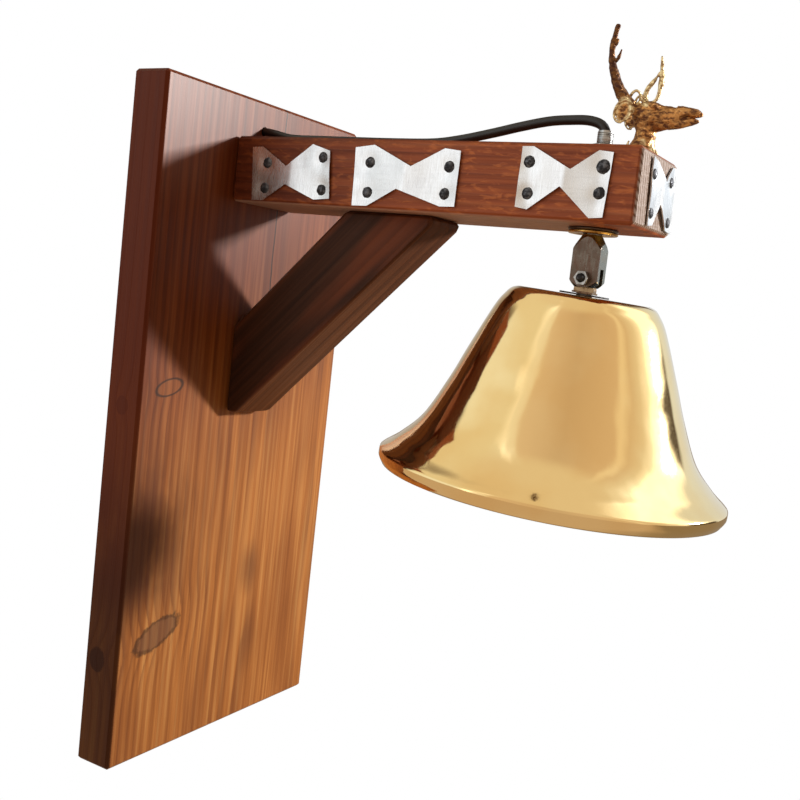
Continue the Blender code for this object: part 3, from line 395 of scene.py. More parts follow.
def stained_beam():
    """Mahogany stain over softwood, with short orange curls across the grain, pale end grain, and painted
    shade darkening it towards the wall.
    """
    material, shader, place = new_material("stained_wood")
    along = placed(place, location=(-BEAM_X, -BEAM_TOP, 0), rotation=(math.pi / 2, 0, 0))
    grain = use_group(WOOD_GRAIN, Vector=along, Pith=(0.050, 0.030, 0.0), Ring_Pitch=0.0058,
                      Wander=0.022)
    base = ramp(grain["Streaks"], (0.28, tint(112, 50, 26)), (0.52, tint(150, 76, 42)),
                (0.76, tint(178, 102, 58)))
    colour = mixed(grain["Rings"] * 0.34, base, tint(84, 34, 18))
    curls = placed(place, rotation=(0.42, 0, 0), scale=(60, 105, 360))
    curl = eased(cloud(curls, 1.0, 2.5, 0.55, 0.5), 0.50, 0.70)
    colour = mixed(curl * 0.46, colour, tint(206, 118, 60))
    axes = split(place)
    # Painted shade: the beam's colour darkens towards the wall, where the board shades it.
    painted_wall_shade = eased(axes["Y"], -0.19, -0.04, 0.0, 0.62)
    colour = mixed(painted_wall_shade, colour, tint(120, 84, 72), "MULTIPLY")
    below = eased(axes["Z"], BEAM_UNDERSIDE + 0.0004, BEAM_UNDERSIDE + 0.0014, 1.0, 0.0)
    below = below * eased(axes["Y"], -0.305, -0.270, 0.0, 0.62)
    colour = mixed(below, colour, tint(168, 136, 118))
    end = eased(axes["Y"], BEAM_LOW.y + 0.0004, BEAM_LOW.y + 0.0016, 1.0, 0.0)
    rings = placed(place, location=(0.06, 0, -0.10), rotation=(0, 0.62, 0), scale=(1, 0, 1))
    sockets = {"Vector": rings, "Scale": 110.0, "Distortion": 3.0, "Detail": 3.0, "Detail Scale": 2.0}
    lines = Field(add_node(shader.id_data, "ShaderNodeTexWave", sockets, wave_type="BANDS").outputs["Fac"])
    grainy = cloud(place, 900.0, 3.0, 0.6)
    pale = ramp(lines * 0.7 + grainy * 0.3, (0.15, tint(104, 72, 54)), (0.45, tint(156, 132, 116)),
                (0.8, tint(186, 168, 156)))
    colour = mixed(end, colour, pale)
    paint(shader, Base_Color=colour, Roughness=eased(grain["Fibres"], 0.3, 0.7, 0.42, 0.58),
          Specular_IOR_Level=0.2)
    height = grain["Height"] + curl * 0.4
    bump(shader, height, 0.00020)
    return material


def walnut_brace():
    """The brace: near black-brown on its sawn sides, lighter on its planed outer face."""
    material, shader, place = new_material("walnut_brace")
    along = placed(place, rotation=(math.radians(-45), 0, 0))
    grain = use_group(WOOD_GRAIN, Vector=along, Pith=(0.05, 0.07, 0.0), Ring_Pitch=0.0060, Wander=0.016)
    reddish = eased(cloud(placed(along, scale=(34, 34, 6)), 1.0, 2.0, 0.5), 0.42, 0.60, 0.0, 0.78)
    dark = ramp(grain["Streaks"], (0.25, tint(42, 24, 16)), (0.5, tint(62, 35, 22)), (0.8, tint(88, 52, 32)))
    light = ramp(grain["Streaks"], (0.25, tint(80, 48, 29)), (0.5, tint(106, 65, 40)),
                 (0.8, tint(134, 88, 58)))
    axes = split(place)
    light = mixed(eased(axes["Z"], 0.06, 0.15, 0.0, 0.6), light, tint(74, 36, 20))
    inset = maths("ABSOLUTE", axes["X"] - BEAM_X)
    half = (BRACE_HIGH.x - BRACE_LOW.x) / 2
    side = eased(inset, half - 0.0018, half - 0.0006)
    colour = mixed(side, light, mixed(reddish, dark, tint(112, 56, 30)))
    colour = mixed(grain["Rings"] * 0.28, colour, tint(34, 18, 11))
    paint(shader, Base_Color=colour, Roughness=eased(grain["Fibres"], 0.3, 0.7, 0.44, 0.60),
          Specular_IOR_Level=0.14)
    bump(shader, grain["Height"], 0.00018)
    return material


def satin_aluminium():
    material, shader, place = new_material("aluminium_sheet")
    worn = use_group(PATINA, Vector=place, Spot_Scale=70.0, Scratch_Scale=700.0, Cover=0.35)
    colour = mixed(worn["Tarnish"] * 0.35, tint(214, 216, 218), tint(188, 190, 193))
    colour = mixed(worn["Scratches"] * 0.18, colour, tint(170, 172, 175))
    paint(shader, Base_Color=colour, Metallic=1.0)
    drawn = cloud(placed(place, scale=(1, 1, 0.04)), 2600.0, 2.0, 0.6)
    paint(shader, Roughness=eased(drawn, 0.3, 0.7, 0.22, 0.30))
    bump(shader, drawn + worn["Scratches"], 0.000007)
    return material


def plain_metal(name, bright, dull, spots, scratches, cover, smooth, rough, pitted=0.00005, near=None):
    """A metal with tarnish between two tones, scratches and pits. Near is the (X, tone) of a face painted
    browner and darker in streaks, as painted shade.
    """
    material, shader, place = new_material(name)
    worn = use_group(PATINA, Vector=place, Spot_Scale=spots, Scratch_Scale=scratches, Cover=cover)
    colour = mixed(worn["Tarnish"], bright, dull)
    colour = mixed(worn["Scratches"] * 0.3, colour, bright)
    if near:
        # Painted shade: the face at the low X is painted browner and darker, in streaks.
        across = split(place)["X"]
        streaks = eased(cloud(placed(place, scale=(1, 1, 0.16)), 620.0, 3.0, 0.6), 0.35, 0.65, 0.55, 0.95)
        share = streaks * eased(across, near[0] + 0.0006, near[0] + 0.0014, 1.0, 0.0)
        colour = mixed(share, colour, near[1])
    paint(shader, Base_Color=colour, Metallic=1.0, Roughness=eased(worn["Tarnish"], 0.0, 1.0, smooth, rough))
    height = worn["Scratches"] * 0.3 - worn["Pits"]
    bump(shader, height, pitted)
    return material


def gold_mirror():
    """Thin polished gold plate: nearly a mirror, with the faint waves of spun metal."""
    material, shader, place = new_material("gold_mirror")
    cloudy = cloud(place, 26.0, 3.0, 0.5)
    colour = mixed(eased(cloudy, 0.35, 0.65), tint(243, 217, 160), tint(240, 209, 148))
    paint(shader, Base_Color=colour, Metallic=1.0)
    fine = cloud(place, 900.0, 3.0, 0.6)
    paint(shader, Roughness=eased(fine, 0.3, 0.75, 0.05, 0.11))
    waves = cloud(placed(place, scale=(1, 1, 0.55)), 34.0, 2.0, 0.45)
    grainy = cloud(place, 420.0, 2.0, 0.5)
    height = waves + grainy * 0.012
    bump(shader, height, 0.0007)
    return material


def cast_brass():
    """Antiqued casting: gold on the high parts, brown in the hollows."""
    material, shader, place = new_material("cast_brass")
    worn = use_group(PATINA, Vector=place, Spot_Scale=170.0, Scratch_Scale=1600.0, Cover=0.6)
    hollow = eased(cloud(placed(place, scale=(1, 0.55, 1)), 430.0, 3.0, 0.6), 0.37, 0.58)
    colour = mixed(hollow, tint(106, 62, 36), tint(222, 166, 104))
    colour = mixed(worn["Tarnish"] * 0.34, colour, tint(82, 50, 30))
    height = split(place)["Z"]
    antler = eased(height, BEAM_TOP + 0.0275, BEAM_TOP + 0.0340, 0.0, 0.74)
    colour = mixed(antler, colour, tint(66, 34, 26))
    raised = add_node(shader.id_data, "ShaderNodeAttribute", attribute_name="gilt").outputs["Fac"]
    colour = mixed(raised, colour, mixed(hollow, tint(158, 122, 76), tint(240, 222, 176)))
    paint(shader, Base_Color=colour, Metallic=eased(hollow, 0.0, 1.0, 0.55, 1.0),
          Roughness=eased(hollow, 0.0, 1.0, 0.62, 0.36))
    bump(shader, hollow - worn["Pits"], 0.00025)
    return material


def moulded(name, colour, darker, rough, grit=0.00004, scale=1400.0):
    """Plastic, glazed ceramic or rubber, with a fine grit."""
    material, shader, place = new_material(name)
    fine = cloud(place, scale, 3.0, 0.6)
    broad = cloud(place, 90.0, 2.0, 0.5)
    paint(shader, Base_Color=mixed(eased(broad, 0.35, 0.7), colour, darker),
          Roughness=eased(fine, 0.3, 0.7, rough - 0.06, rough + 0.06))
    bump(shader, fine, grit)
    return material


def frosted_glass():
    material, shader, place = new_material("frosted_glass")
    fine = cloud(place, 1800.0, 2.0, 0.5)
    paint(shader, Base_Color=mixed(eased(fine, 0.3, 0.7), tint(250, 248, 240), tint(240, 236, 226)),
          Roughness=eased(fine, 0.3, 0.7, 0.22, 0.34), Subsurface_Weight=0.35,
          Subsurface_Radius=(0.004, 0.004, 0.004))
    bump(shader, fine, 0.00002)
    return material


PINE = pine_board()
BEAM_WOOD = stained_beam()
BRACE_WOOD = walnut_brace()
ALUMINIUM = satin_aluminium()
IRON = plain_metal("nail_iron", tint(104, 106, 112), tint(52, 53, 57), 420.0, 1500.0, 0.6, 0.38, 0.62,
                   0.00012)
# The knuckle body's and the tongue's near faces take a painted shade tone.
STEEL = plain_metal("dark_steel", tint(122, 124, 116), tint(98, 96, 88), 110.0, 900.0, 0.5, 0.24, 0.34,
                    0.00003, (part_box("knuckle_body")[0].x, tint(94, 74, 64)))
TONGUE_STEEL = plain_metal("tongue_steel", tint(150, 128, 100), tint(120, 96, 70), 110.0, 900.0, 0.5, 0.24,
                           0.34, 0.00003, (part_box("knuckle_tongue")[0].x, tint(90, 62, 48)))
ZINC = plain_metal("zinc_steel", tint(184, 187, 188), tint(150, 152, 152), 160.0, 1100.0, 0.45, 0.28, 0.42,
                   0.00003)
GOLD = gold_mirror()
BRASS_CASTING = cast_brass()
BRASS = plain_metal("bare_brass", tint(224, 178, 98), tint(150, 104, 50), 160.0, 900.0, 0.4, 0.22, 0.42)
SHEATH = moulded("cable_sheath", tint(20, 20, 22), tint(12, 12, 13), 0.38, 0.00003)
BLACK_PLASTIC = moulded("black_plastic", tint(24, 24, 26), tint(15, 15, 16), 0.34)
WHITE_PLASTIC = moulded("white_plastic", tint(232, 230, 222), tint(222, 219, 208), 0.42)
CERAMIC = moulded("ceramic", tint(236, 232, 222), tint(226, 220, 208), 0.25)
BULB_GLASS = frosted_glass()


# --- mesh helpers ---------------------------------------------------------------------------------
def shade_round(mesh, degrees=34):
    mesh.shade_smooth()
    mesh.set_sharp_from_angle(angle=math.radians(degrees))
    return mesh


def new_object(name, mesh, material):
    thing = bpy.data.objects.new(name, mesh)
    mesh.materials.clear()
    mesh.materials.append(material)
    bpy.context.scene.collection.objects.link(thing)
    return thing


def deliver(thing, body, slot, *nodes):
    """Hands a finished piece over: puts it under its body and hides the CAD nodes it stands for; the slot is
    not used.
    """
    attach(thing, body)
    if nodes:
        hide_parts(*nodes)
    return thing


def make_real(thing):
    """The object's modifiers, made part of its mesh."""
    bpy.context.view_layer.update()
    seen = thing.evaluated_get(bpy.context.evaluated_depsgraph_get())
    mesh = bpy.data.meshes.new_from_object(seen)
    thing.modifiers.clear()
    thing.data = mesh
    return thing


def to_mesh(form, name="shape"):
    mesh = bpy.data.meshes.new(name)
    form.to_mesh(mesh)
    form.free()
    return mesh


def whole_faces(node):
    """A CAD node's shape with its loose triangles joined into whole flat faces."""
    source = frame["nodes"][node].data
    mesh = bpy.data.meshes.new(node)
    mesh.from_pydata([v.co[:] for v in source.vertices], [], [p.vertices[:] for p in source.polygons])
    form = bmesh.new()
    form.from_mesh(mesh)
    bmesh.ops.remove_doubles(form, verts=form.verts, dist=2e-6)
    bmesh.ops.dissolve_limit(form, angle_limit=math.radians(0.6), verts=form.verts, edges=form.edges)
    form.to_mesh(mesh)
    form.free()
    return mesh


def softened(node, material, width, body, slot, segments=3, angle=24):
    """A CAD node's shape with rounded arrises."""
    thing = new_object(node + "_finished", whole_faces(node), material)
    edge = thing.modifiers.new("soft_edges", "BEVEL")
    edge.width = width
    edge.segments = segments
    edge.limit_method = "ANGLE"
    edge.angle_limit = math.radians(angle)
    edge.harden_normals = True
    thing.data.shade_smooth()
    make_real(thing)
    return deliver(thing, body, slot, node)


def rounded(points, radius, steps=5):
    """An open outline with each inner corner turned into an arc of about this radius."""
    points = [Vector(p) for p in points]
    result = [points[0]]
    for before, corner, after in zip(points, points[1:], points[2:]):
        to_before, to_after = (before - corner, after - corner)
        reach = min(radius, 0.45 * to_before.length, 0.45 * to_after.length)
        if reach < 1e-6 or to_before.angle(to_after) > math.radians(172):
            result.append(corner)
            continue
        start, end = (corner + to_before.normalized() * reach, corner + to_after.normalized() * reach)
        for step in range(steps + 1):
            t = step / steps
            result.append(start * (1 - t) ** 2 + corner * 2 * t * (1 - t) + end * t ** 2)
    result.append(points[-1])
    return [tuple(p) for p in result]


def lathe(name, profile, place, steps):
    """Turns (radius, height) points about Z. The profile closes on itself."""
    form = bmesh.new()
    rows = []
    for radius, height in profile:
        count = 1 if radius < 1e-7 else steps
        angles = [2 * math.pi * i / steps for i in range(count)]
        rows.append([form.verts.new((radius * math.cos(a), radius * math.sin(a), height)) for a in angles])
    for low, high in zip(rows, rows[1:] + rows[:1]):
        for i in range(steps):
            j = (i + 1) % steps
            corners = [low[i % len(low)], low[j % len(low)], high[j % len(high)], high[i % len(high)]]
            corners = list(dict.fromkeys(corners))
            if len(corners) > 2:
                form.faces.new(corners)
    bmesh.ops.recalc_face_normals(form, faces=form.faces)
    mesh = to_mesh(form, name)
    mesh.transform(place)
    return mesh


def turned_piece(name, node, profile, material, body, slot, place, steps, degrees=34):
    thing = new_object(name, shade_round(lathe(name, profile, place, steps), degrees), material)
    return deliver(thing, body, slot, node)


def sweep(form, path, radii, sides):
    """A closed tube of changing thickness along a path, added to a mesh being built."""
    path = [Vector(p) for p in path]
    tangents = [(path[min(i + 1, len(path) - 1)] - path[max(i - 1, 0)]).normalized()
                for i in range(len(path))]
    across = tangents[0].orthogonal().normalized()
    rows = []
    for point, tangent, radius in zip(path, tangents, radii):
        across = (across - tangent * across.dot(tangent)).normalized()
        other = tangent.cross(across)
        rows.append([form.verts.new(point + across * radius * math.cos(a) + other * radius * math.sin(a))
                     for a in [2 * math.pi * i / sides for i in range(sides)]])
    for low, high in zip(rows, rows[1:]):
        for i in range(sides):
            form.faces.new((low[i], low[(i + 1) % sides], high[(i + 1) % sides], high[i]))
    for row, centre, step in ((rows[0], path[0], -1), (rows[-1], path[-1], 1)):
        tangent = tangents[0] if step < 0 else tangents[-1]
        radius = radii[0] if step < 0 else radii[-1]
        tip = form.verts.new(centre + tangent * step * radius * 0.6)
        for i in range(sides):
            form.faces.new((row[i], row[(i + 1) % sides], tip))
    return form


def flowing(points, steps):
    """A Catmull-Rom curve through the points, evenly divided."""
    points = [Vector(p) for p in points]
    ends = [points[0] * 2 - points[1], *points, points[-1] * 2 - points[-2]]
    dense = []
    for a, b, c, d in zip(ends, ends[1:], ends[2:], ends[3:]):
        for i in range(24):
            t = i / 24
            dense.append(0.5 * (2 * b + (c - a) * t + (2 * a - 5 * b + 4 * c - d) * t ** 2
                                + (3 * b - a - 3 * c + d) * t ** 3))
    dense.append(points[-1])
    marks = [0.0]
    for a, b in zip(dense, dense[1:]):
        marks.append(marks[-1] + (b - a).length)
    result, j = ([], 0)
    for i in range(steps + 1):
        target = marks[-1] * i / steps
        while j < len(marks) - 2 and marks[j + 1] < target:
            j += 1
        span = marks[j + 1] - marks[j]
        result.append(dense[j].lerp(dense[j + 1], (target - marks[j]) / span if span else 0.0))
    return result, marks[-1]


# --- the cable ------------------------------------------------------------------------------------
def make_cable():
    route, length = flowing(CABLE_ROUTE, CABLE_STEPS)
    form = sweep(bmesh.new(), route, [CABLE_RADIUS] * len(route), 24)
    bmesh.ops.recalc_face_normals(form, faces=form.faces)
    cable = new_object("lamp_cable_sheath", shade_round(to_mesh(form, "lamp_cable"), 50), SHEATH)
    deliver(cable, "root", "cable_sheath", "lamp_cable")


# --- geometry node trees --------------------------------------------------------------------------
def tree_input(tree, label, kind, default):
    socket = tree.interface.new_socket(label, in_out="INPUT", socket_type=kind)
    if default is not None:
        socket.default_value = default
    return socket.identifier


def start_geometry_tree(name, inputs):
    """A geometry tree with named inputs, and the identifier of each."""
    tree = bpy.data.node_groups.new(name, "GeometryNodeTree")
    names = {"Geometry": tree_input(tree, "Geometry", "NodeSocketGeometry", None)}
    for label, kind, default in inputs:
        names[label] = tree_input(tree, label, kind, default)
    tree.interface.new_socket("Geometry", in_out="OUTPUT", socket_type="NodeSocketGeometry")
    takes = fields(tree.nodes.new("NodeGroupInput").outputs)
    return tree, takes, tree.nodes.new("NodeGroupOutput").inputs, names


def run_geometry_tree(thing, tree, names, values):
    """Runs a tree once on an object, with its inputs set by identifier, and keeps the plain mesh."""
    modifier = thing.modifiers.new(tree.name, "NODES")
    modifier.node_group = tree
    for label, value in values.items():
        modifier[names[label]] = value
    material = values.get("Material")
    make_real(thing)
    thing.data.materials.clear()
    thing.data.materials.append(material)
    return thing


def nail_tree():
    """A hammered nail on each point, square to its face, each one turned and dented its own way."""
    tree, takes, gives, names = start_geometry_tree("hammered_nails", [
        ("Head Radius", "NodeSocketFloat", 0.0034), ("Head Height", "NodeSocketFloat", 0.0017),
        ("Shank Radius", "NodeSocketFloat", 0.0014), ("Shank Length", "NodeSocketFloat", 0.006),
        ("Seed", "NodeSocketInt", 7), ("Material", "NodeSocketMaterial", None)])
    head = add_node(tree, "GeometryNodeMeshUVSphere",
                    {"Segments": 20, "Rings": 12, "Radius": 1.0}).outputs["Mesh"]
    size = add_node(tree, "ShaderNodeCombineXYZ", {"X": takes["Head Radius"], "Y": takes["Head Radius"],
                                                   "Z": takes["Head Height"]}).outputs[0]
    head = add_node(tree, "GeometryNodeTransform", {"Geometry": head, "Scale": size}).outputs[0]
    shank = add_node(tree, "GeometryNodeMeshCylinder", {"Vertices": 10, "Radius": takes["Shank Radius"],
                                                        "Depth": takes["Shank Length"]}).outputs["Mesh"]
    down = add_node(tree, "ShaderNodeCombineXYZ", {"Z": takes["Shank Length"] * -0.5})
    shank = add_node(tree, "GeometryNodeTransform",
                     {"Geometry": shank, "Translation": down.outputs[0]}).outputs[0]
    nail = tree.nodes.new("GeometryNodeJoinGeometry")
    feed(nail.inputs[0], head)
    feed(nail.inputs[0], shank)
    outward = add_node(tree, "GeometryNodeInputNamedAttribute", {"Name": "outward"}, data_type="FLOAT_VECTOR")
    aim = add_node(tree, "FunctionNodeAlignRotationToVector", {"Vector": outward.outputs["Attribute"]},
                   axis="Z")
    spin = add_node(tree, "FunctionNodeRandomValue", {"Seed": takes["Seed"]}, data_type="FLOAT")
    spin.inputs[3].default_value = 2 * math.pi
    about = add_node(tree, "ShaderNodeCombineXYZ", {"Z": spin.outputs[1]}).outputs[0]
    about = add_node(tree, "FunctionNodeEulerToRotation", {"Euler": about}).outputs[0]
    rotation = add_node(tree, "FunctionNodeRotateRotation", {"Rotation": aim.outputs[0], "Rotate By": about},
                        rotation_space="LOCAL").outputs[0]
    bigger = add_node(tree, "GeometryNodeInputNamedAttribute", {"Name": "girth"}, data_type="FLOAT")
    placed_nails = add_node(tree, "GeometryNodeInstanceOnPoints", {
        "Points": takes["Geometry"], "Instance": nail.outputs[0], "Rotation": rotation})
    feed(placed_nails.inputs["Scale"], bigger.outputs["Attribute"])
    real = add_node(tree, "GeometryNodeRealizeInstances", {"Geometry": placed_nails.outputs[0]}).outputs[0]
    where = add_node(tree, "GeometryNodeInputPosition").outputs[0]
    dents = add_node(tree, "ShaderNodeTexNoise", {"Vector": where, "Scale": 620.0,
                                                  "Detail": 2.0}).outputs["Color"]
    dents = vector_maths("MULTIPLY", vector_maths("SUBTRACT", dents, (0.5, 0.5, 0.5)), (0.0011,) * 3)
    real = add_node(tree, "GeometryNodeSetPosition", {"Geometry": real, "Offset": dents}).outputs[0]
    real = add_node(tree, "GeometryNodeSetMaterial",
                    {"Geometry": real, "Material": takes["Material"]}).outputs[0]
    feed(gives[0], real)
    return tree, names


def thread_tree():
    """A screw thread: a ridge wound round a core, rising from the origin along Z."""
    tree, takes, gives, names = start_geometry_tree("screw_thread", [
        ("Radius", "NodeSocketFloat", 0.005), ("Pitch", "NodeSocketFloat", 0.001),
        ("Length", "NodeSocketFloat", 0.010), ("Material", "NodeSocketMaterial", None)])
    turns = takes["Length"] / takes["Pitch"]
    root = takes["Radius"] - takes["Pitch"] * 0.36
    line = add_node(tree, "GeometryNodeCurveSpiral",
                    {"Resolution": 40, "Rotations": turns, "Start Radius": root, "End Radius": root,
                     "Height": takes["Length"]}).outputs[0]
    ridge = add_node(tree, "GeometryNodeCurvePrimitiveCircle",
                     {"Resolution": 4, "Radius": takes["Pitch"] * 0.42}).outputs["Curve"]
    wound = add_node(tree, "GeometryNodeCurveToMesh", {"Curve": line, "Profile Curve": ridge,
                                                       "Fill Caps": True}).outputs[0]
    joined = tree.nodes.new("GeometryNodeJoinGeometry")
    feed(joined.inputs[0], wound)
    feed(joined.inputs[0], takes["Geometry"])
    real = add_node(tree, "GeometryNodeRealizeInstances", {"Geometry": joined.outputs[0]}).outputs[0]
    real = add_node(tree, "GeometryNodeSetMaterial",
                    {"Geometry": real, "Material": takes["Material"]}).outputs[0]
    feed(gives[0], real)
    return tree, names


THREAD, THREAD_NAMES = thread_tree()


def threaded(name, core, radius, pitch, length, start, material, place):
    """A turned core, given as a profile, with a thread wound on it from the start height upwards."""
    thing = new_object(name, lathe(name, core, Matrix.Translation((0, 0, -start)), 48), material)
    run_geometry_tree(thing, THREAD, THREAD_NAMES, {"Radius": radius, "Pitch": pitch, "Length": length,
                                                    "Material": material})
    thing.data.transform(place @ Matrix.Translation((0, 0, start)))
    shade_round(thing.data, 40)
    return thing


# --- wood -----------------------------------------------------------------------------------------
def make_wood():
    softened("backboard", PINE, 0.0010, "root", "pine_board", 3)
    softened("beam", BEAM_WOOD, 0.0009, "root", "stained_wood", 3)
    softened("brace", BRACE_WOOD, 0.0009, "root", "stained_wood", 3)


# --- nailed plates --------------------------------------------------------------------------------
PLATE_CELL = 0.0013
NAIL_HOLD = 0.0055
PLATE_CREASES = (0.0004, 0.0009, 0.0008)
PLATE_LIFTS = (0.0006, 0.0004, 0.0005)
END_PLATE_CREASE, END_PLATE_LIFT = (0.0011, 0.0006)
BIG_NAIL, END_NAIL = (1.15, 0.9)


def plate_grid(low, high, outward, cell):
    """A thin slab of small cells over a plate's box."""
    form = bmesh.new()
    normal = Vector(outward)
    lift = 1 if abs(normal.x) > 0.5 else 0
    axis = 0 if lift else 1
    spans = [(low[i] - 0.004, high[i] + 0.004) for i in (1 - axis, 2)]
    counts = [max(4, round((b - a) / cell)) for a, b in spans]
    rows = []
    for layer in (low[axis], high[axis]):
        row = []
        for i in range(counts[0] + 1):
            column = []
            for j in range(counts[1] + 1):
                point = [0.0, 0.0, spans[1][0] + (spans[1][1] - spans[1][0]) * j / counts[1]]
                point[axis] = layer
                point[1 - axis] = spans[0][0] + (spans[0][1] - spans[0][0]) * i / counts[0]
                column.append(form.verts.new(point))
            row.append(column)
        rows.append(row)
    last_i, last_j = counts
    for row in rows:
        for i in range(last_i):
            for j in range(last_j):
                form.faces.new((row[i][j], row[i + 1][j], row[i + 1][j + 1], row[i][j + 1]))
    first, second = rows
    edge = ([(i, 0) for i in range(last_i)] + [(last_i, j) for j in range(last_j)]
            + [(i, last_j) for i in range(last_i, 0, -1)] + [(0, j) for j in range(last_j, 0, -1)])
    for (a, b), (c, d) in zip(edge, edge[1:] + edge[:1]):
        form.faces.new((first[a][b], first[c][d], second[c][d], second[a][b]))
    bmesh.ops.recalc_face_normals(form, faces=form.faces)
    return to_mesh(form, "grid")


def bent_plate(node, outward, nails, crease, lift, seed):
    """A flat CAD plate bent as hand-cut sheet: creased at its waist, and lifted between its nails."""
    low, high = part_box(node)
    plate = new_object(node + "_bent", plate_grid(low, high, outward, PLATE_CELL), ALUMINIUM)
    outline = whole_faces(node)
    middle = (low + high) / 2
    normal = Vector(outward)
    for vertex in outline.vertices:
        vertex.co += normal * (vertex.co - middle).dot(normal) * 3
    cutter = bpy.data.objects.new("outline", outline)
    bpy.context.scene.collection.objects.link(cutter)
    trim = plate.modifiers.new("trim", "BOOLEAN")
    trim.operation = "INTERSECT"
    trim.solver = "EXACT"
    trim.object = cutter
    make_real(plate)
    bpy.data.objects.remove(cutter)
    along = 1 if abs(normal.x) > 0.5 else 0
    half = (high[along] - low[along]) / 2
    for vertex in plate.data.vertices:
        point = vertex.co
        held = 1.0
        for nail in nails:
            held *= 1 - math.exp(-((point - nail) - normal * (point - nail).dot(normal)).length_squared
                                 / NAIL_HOLD ** 2)
        share = abs(point[along] - middle[along]) / half
        fold = crease * (1 - share) ** 2
        wave = noise.noise(Vector((point[along] * 46, point.z * 46, seed))) * lift
        tip = lift * max(0.0, share - 0.75) * 3.0
        vertex.co = point + normal * (0.0001 + max(0.0, held * (fold + 0.55 * lift + wave + tip)))
    shade_round(plate.data, 40)
    deliver(plate, "root", "aluminium_sheet", node)
    return plate


def nail_middle(node):
    low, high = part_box(node)
    return (low + high) / 2


def make_plates_and_nails():
    points, outwards, girths = ([], [], [])
    face_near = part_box("side_plate_near_1")[0].x
    face_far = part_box("side_plate_far_1")[1].x
    for number in (1, 2, 3):
        nails = [nail_middle(f"side_nail_{number}_{count}") for count in (1, 2, 3, 4)]
        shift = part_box(f"side_plate_near_{number}")[0].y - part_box(f"side_plate_far_{number}")[0].y
        near = [Vector((face_near, n.y, n.z)) for n in nails]
        far = [Vector((face_far, n.y - shift, n.z)) for n in nails]
        crease = PLATE_CREASES[number - 1]
        lift = PLATE_LIFTS[number - 1]
        bent_plate(f"side_plate_near_{number}", (-1, 0, 0), near, crease, lift,
                   number * 3.1)
        bent_plate(f"side_plate_far_{number}", (1, 0, 0), far, crease, lift,
                   number * 5.3)
        points += near + far
        outwards += [(-1, 0, 0)] * 4 + [(1, 0, 0)] * 4
        girths += [1.0] * 8
    girths[8 * 2 + 2] = BIG_NAIL
    face_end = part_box("end_plate")[0].y
    ends = [nail_middle(f"end_nail_{count}") for count in (1, 2, 3, 4)]
    ends = [Vector((n.x, face_end, n.z)) for n in ends]
    bent_plate("end_plate", (0, -1, 0), ends, END_PLATE_CREASE, END_PLATE_LIFT, 2.7)
    points += ends
    outwards += [(0, -1, 0)] * 4
    girths += [END_NAIL] * 4
    mesh = bpy.data.meshes.new("nails")
    mesh.from_pydata([tuple(p) for p in points], [], [])
    way = mesh.attributes.new("outward", "FLOAT_VECTOR", "POINT")
    way.data.foreach_set("vector", [c for o in outwards for c in o])
    girth = mesh.attributes.new("girth", "FLOAT", "POINT")
    girth.data.foreach_set("value", girths)
    nails = new_object("hammered_nails", mesh, IRON)
    tree, names = nail_tree()
    run_geometry_tree(nails, tree, names, {"Head Radius": 0.0037, "Head Height": 0.0016,
                                           "Shank Radius": 0.0014, "Shank Length": 0.006, "Seed": 7,
                                           "Material": IRON})
    shade_round(nails.data, 30)
    replaced = [f"side_nail_{number}_{count}" for number in (1, 2, 3) for count in (1, 2, 3, 4)]
    replaced += [f"end_nail_{count}" for count in (1, 2, 3, 4)]
    deliver(nails, "root", "nail_iron", *replaced)


# --- tube, washers and knuckle --------------------------------------------------------------------
STUD_BORE = 0.0053


def washer(name, node, material, body, slot, place):
    """A flat washer with rolled edges, from its CAD box in the place's own frame."""
    inverse = place.inverted()
    points = [inverse @ v.co for v in frame["nodes"][node].data.vertices]
    radius = max(math.hypot(p.x, p.y) for p in points)
    low, high = (min(p.z for p in points), max(p.z for p in points))
    edge = 0.3 * (high - low)
    bore = STUD_BORE
    profile = [(bore, low + edge), (bore + edge, low), (radius - edge, low), (radius, low + edge),
               (radius, high - edge), (radius - edge, high), (bore + edge, high), (bore, high - edge)]
    return turned_piece(name, node, profile, material, body, slot, place, 72)


def make_tube_parts():
    axis = Matrix.Translation((TUBE_X, TUBE_Y, 0))
    radius = (TUBE_HIGH.x - TUBE_LOW.x) / 2
    low, high = (TUBE_LOW.z, TUBE_HIGH.z)
    bore = radius - 0.0014
    core = [(bore, low), (radius - 0.0004, low), (radius - 0.0004, high), (bore, high)]
    tube = threaded("threaded_tube_cut", core, radius - 0.0001, 0.0010, high - low - 0.0016, low + 0.0006,
                    ZINC, axis)
    deliver(tube, "root", "zinc_steel", "threaded_tube")
    washer("tube_top_washer_rolled", "tube_top_washer", ZINC, "root", "zinc_steel", axis)
    softened("tube_lock_nut", ZINC, 0.0004, "root", "zinc_steel")
    washer("beam_washer_rolled", "beam_washer", STEEL, "root", "dark_steel", axis)
    washer("knuckle_washer_rolled", "knuckle_washer", BRASS, "root", "bare_brass", axis)


def make_knuckle():
    softened("knuckle_body", STEEL, 0.0005, "swivel", "dark_steel", 3, 30)
    softened("knuckle_tongue", TONGUE_STEEL, 0.0004, "shade_arm", "zinc_steel", 3, 30)
    softened("pivot_nut", ZINC, 0.0004, "swivel", "dark_steel", 2)
    low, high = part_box("pivot_bolt")
    radius = 0.0025
    place = Matrix.Translation(PIVOT) @ TO_LEFT
    end = PIVOT.x - low.x
    head = high.x - PIVOT.x
    core = [(0.0, end), (0.0014, end - 0.0002), (radius - 0.0004, end - 0.0009),
            (radius - 0.0004, -head + 0.0030), (0.0043, -head + 0.0029), (0.0043, -head + 0.0009),
            (0.0034, -head + 0.0002), (0.0022, -head), (0.0, -head)]
    bolt = threaded("pivot_bolt_cut", core, radius, 0.0008, 0.0105, end - 0.0116, IRON, place)
    deliver(bolt, "swivel", "dark_steel", "pivot_bolt")


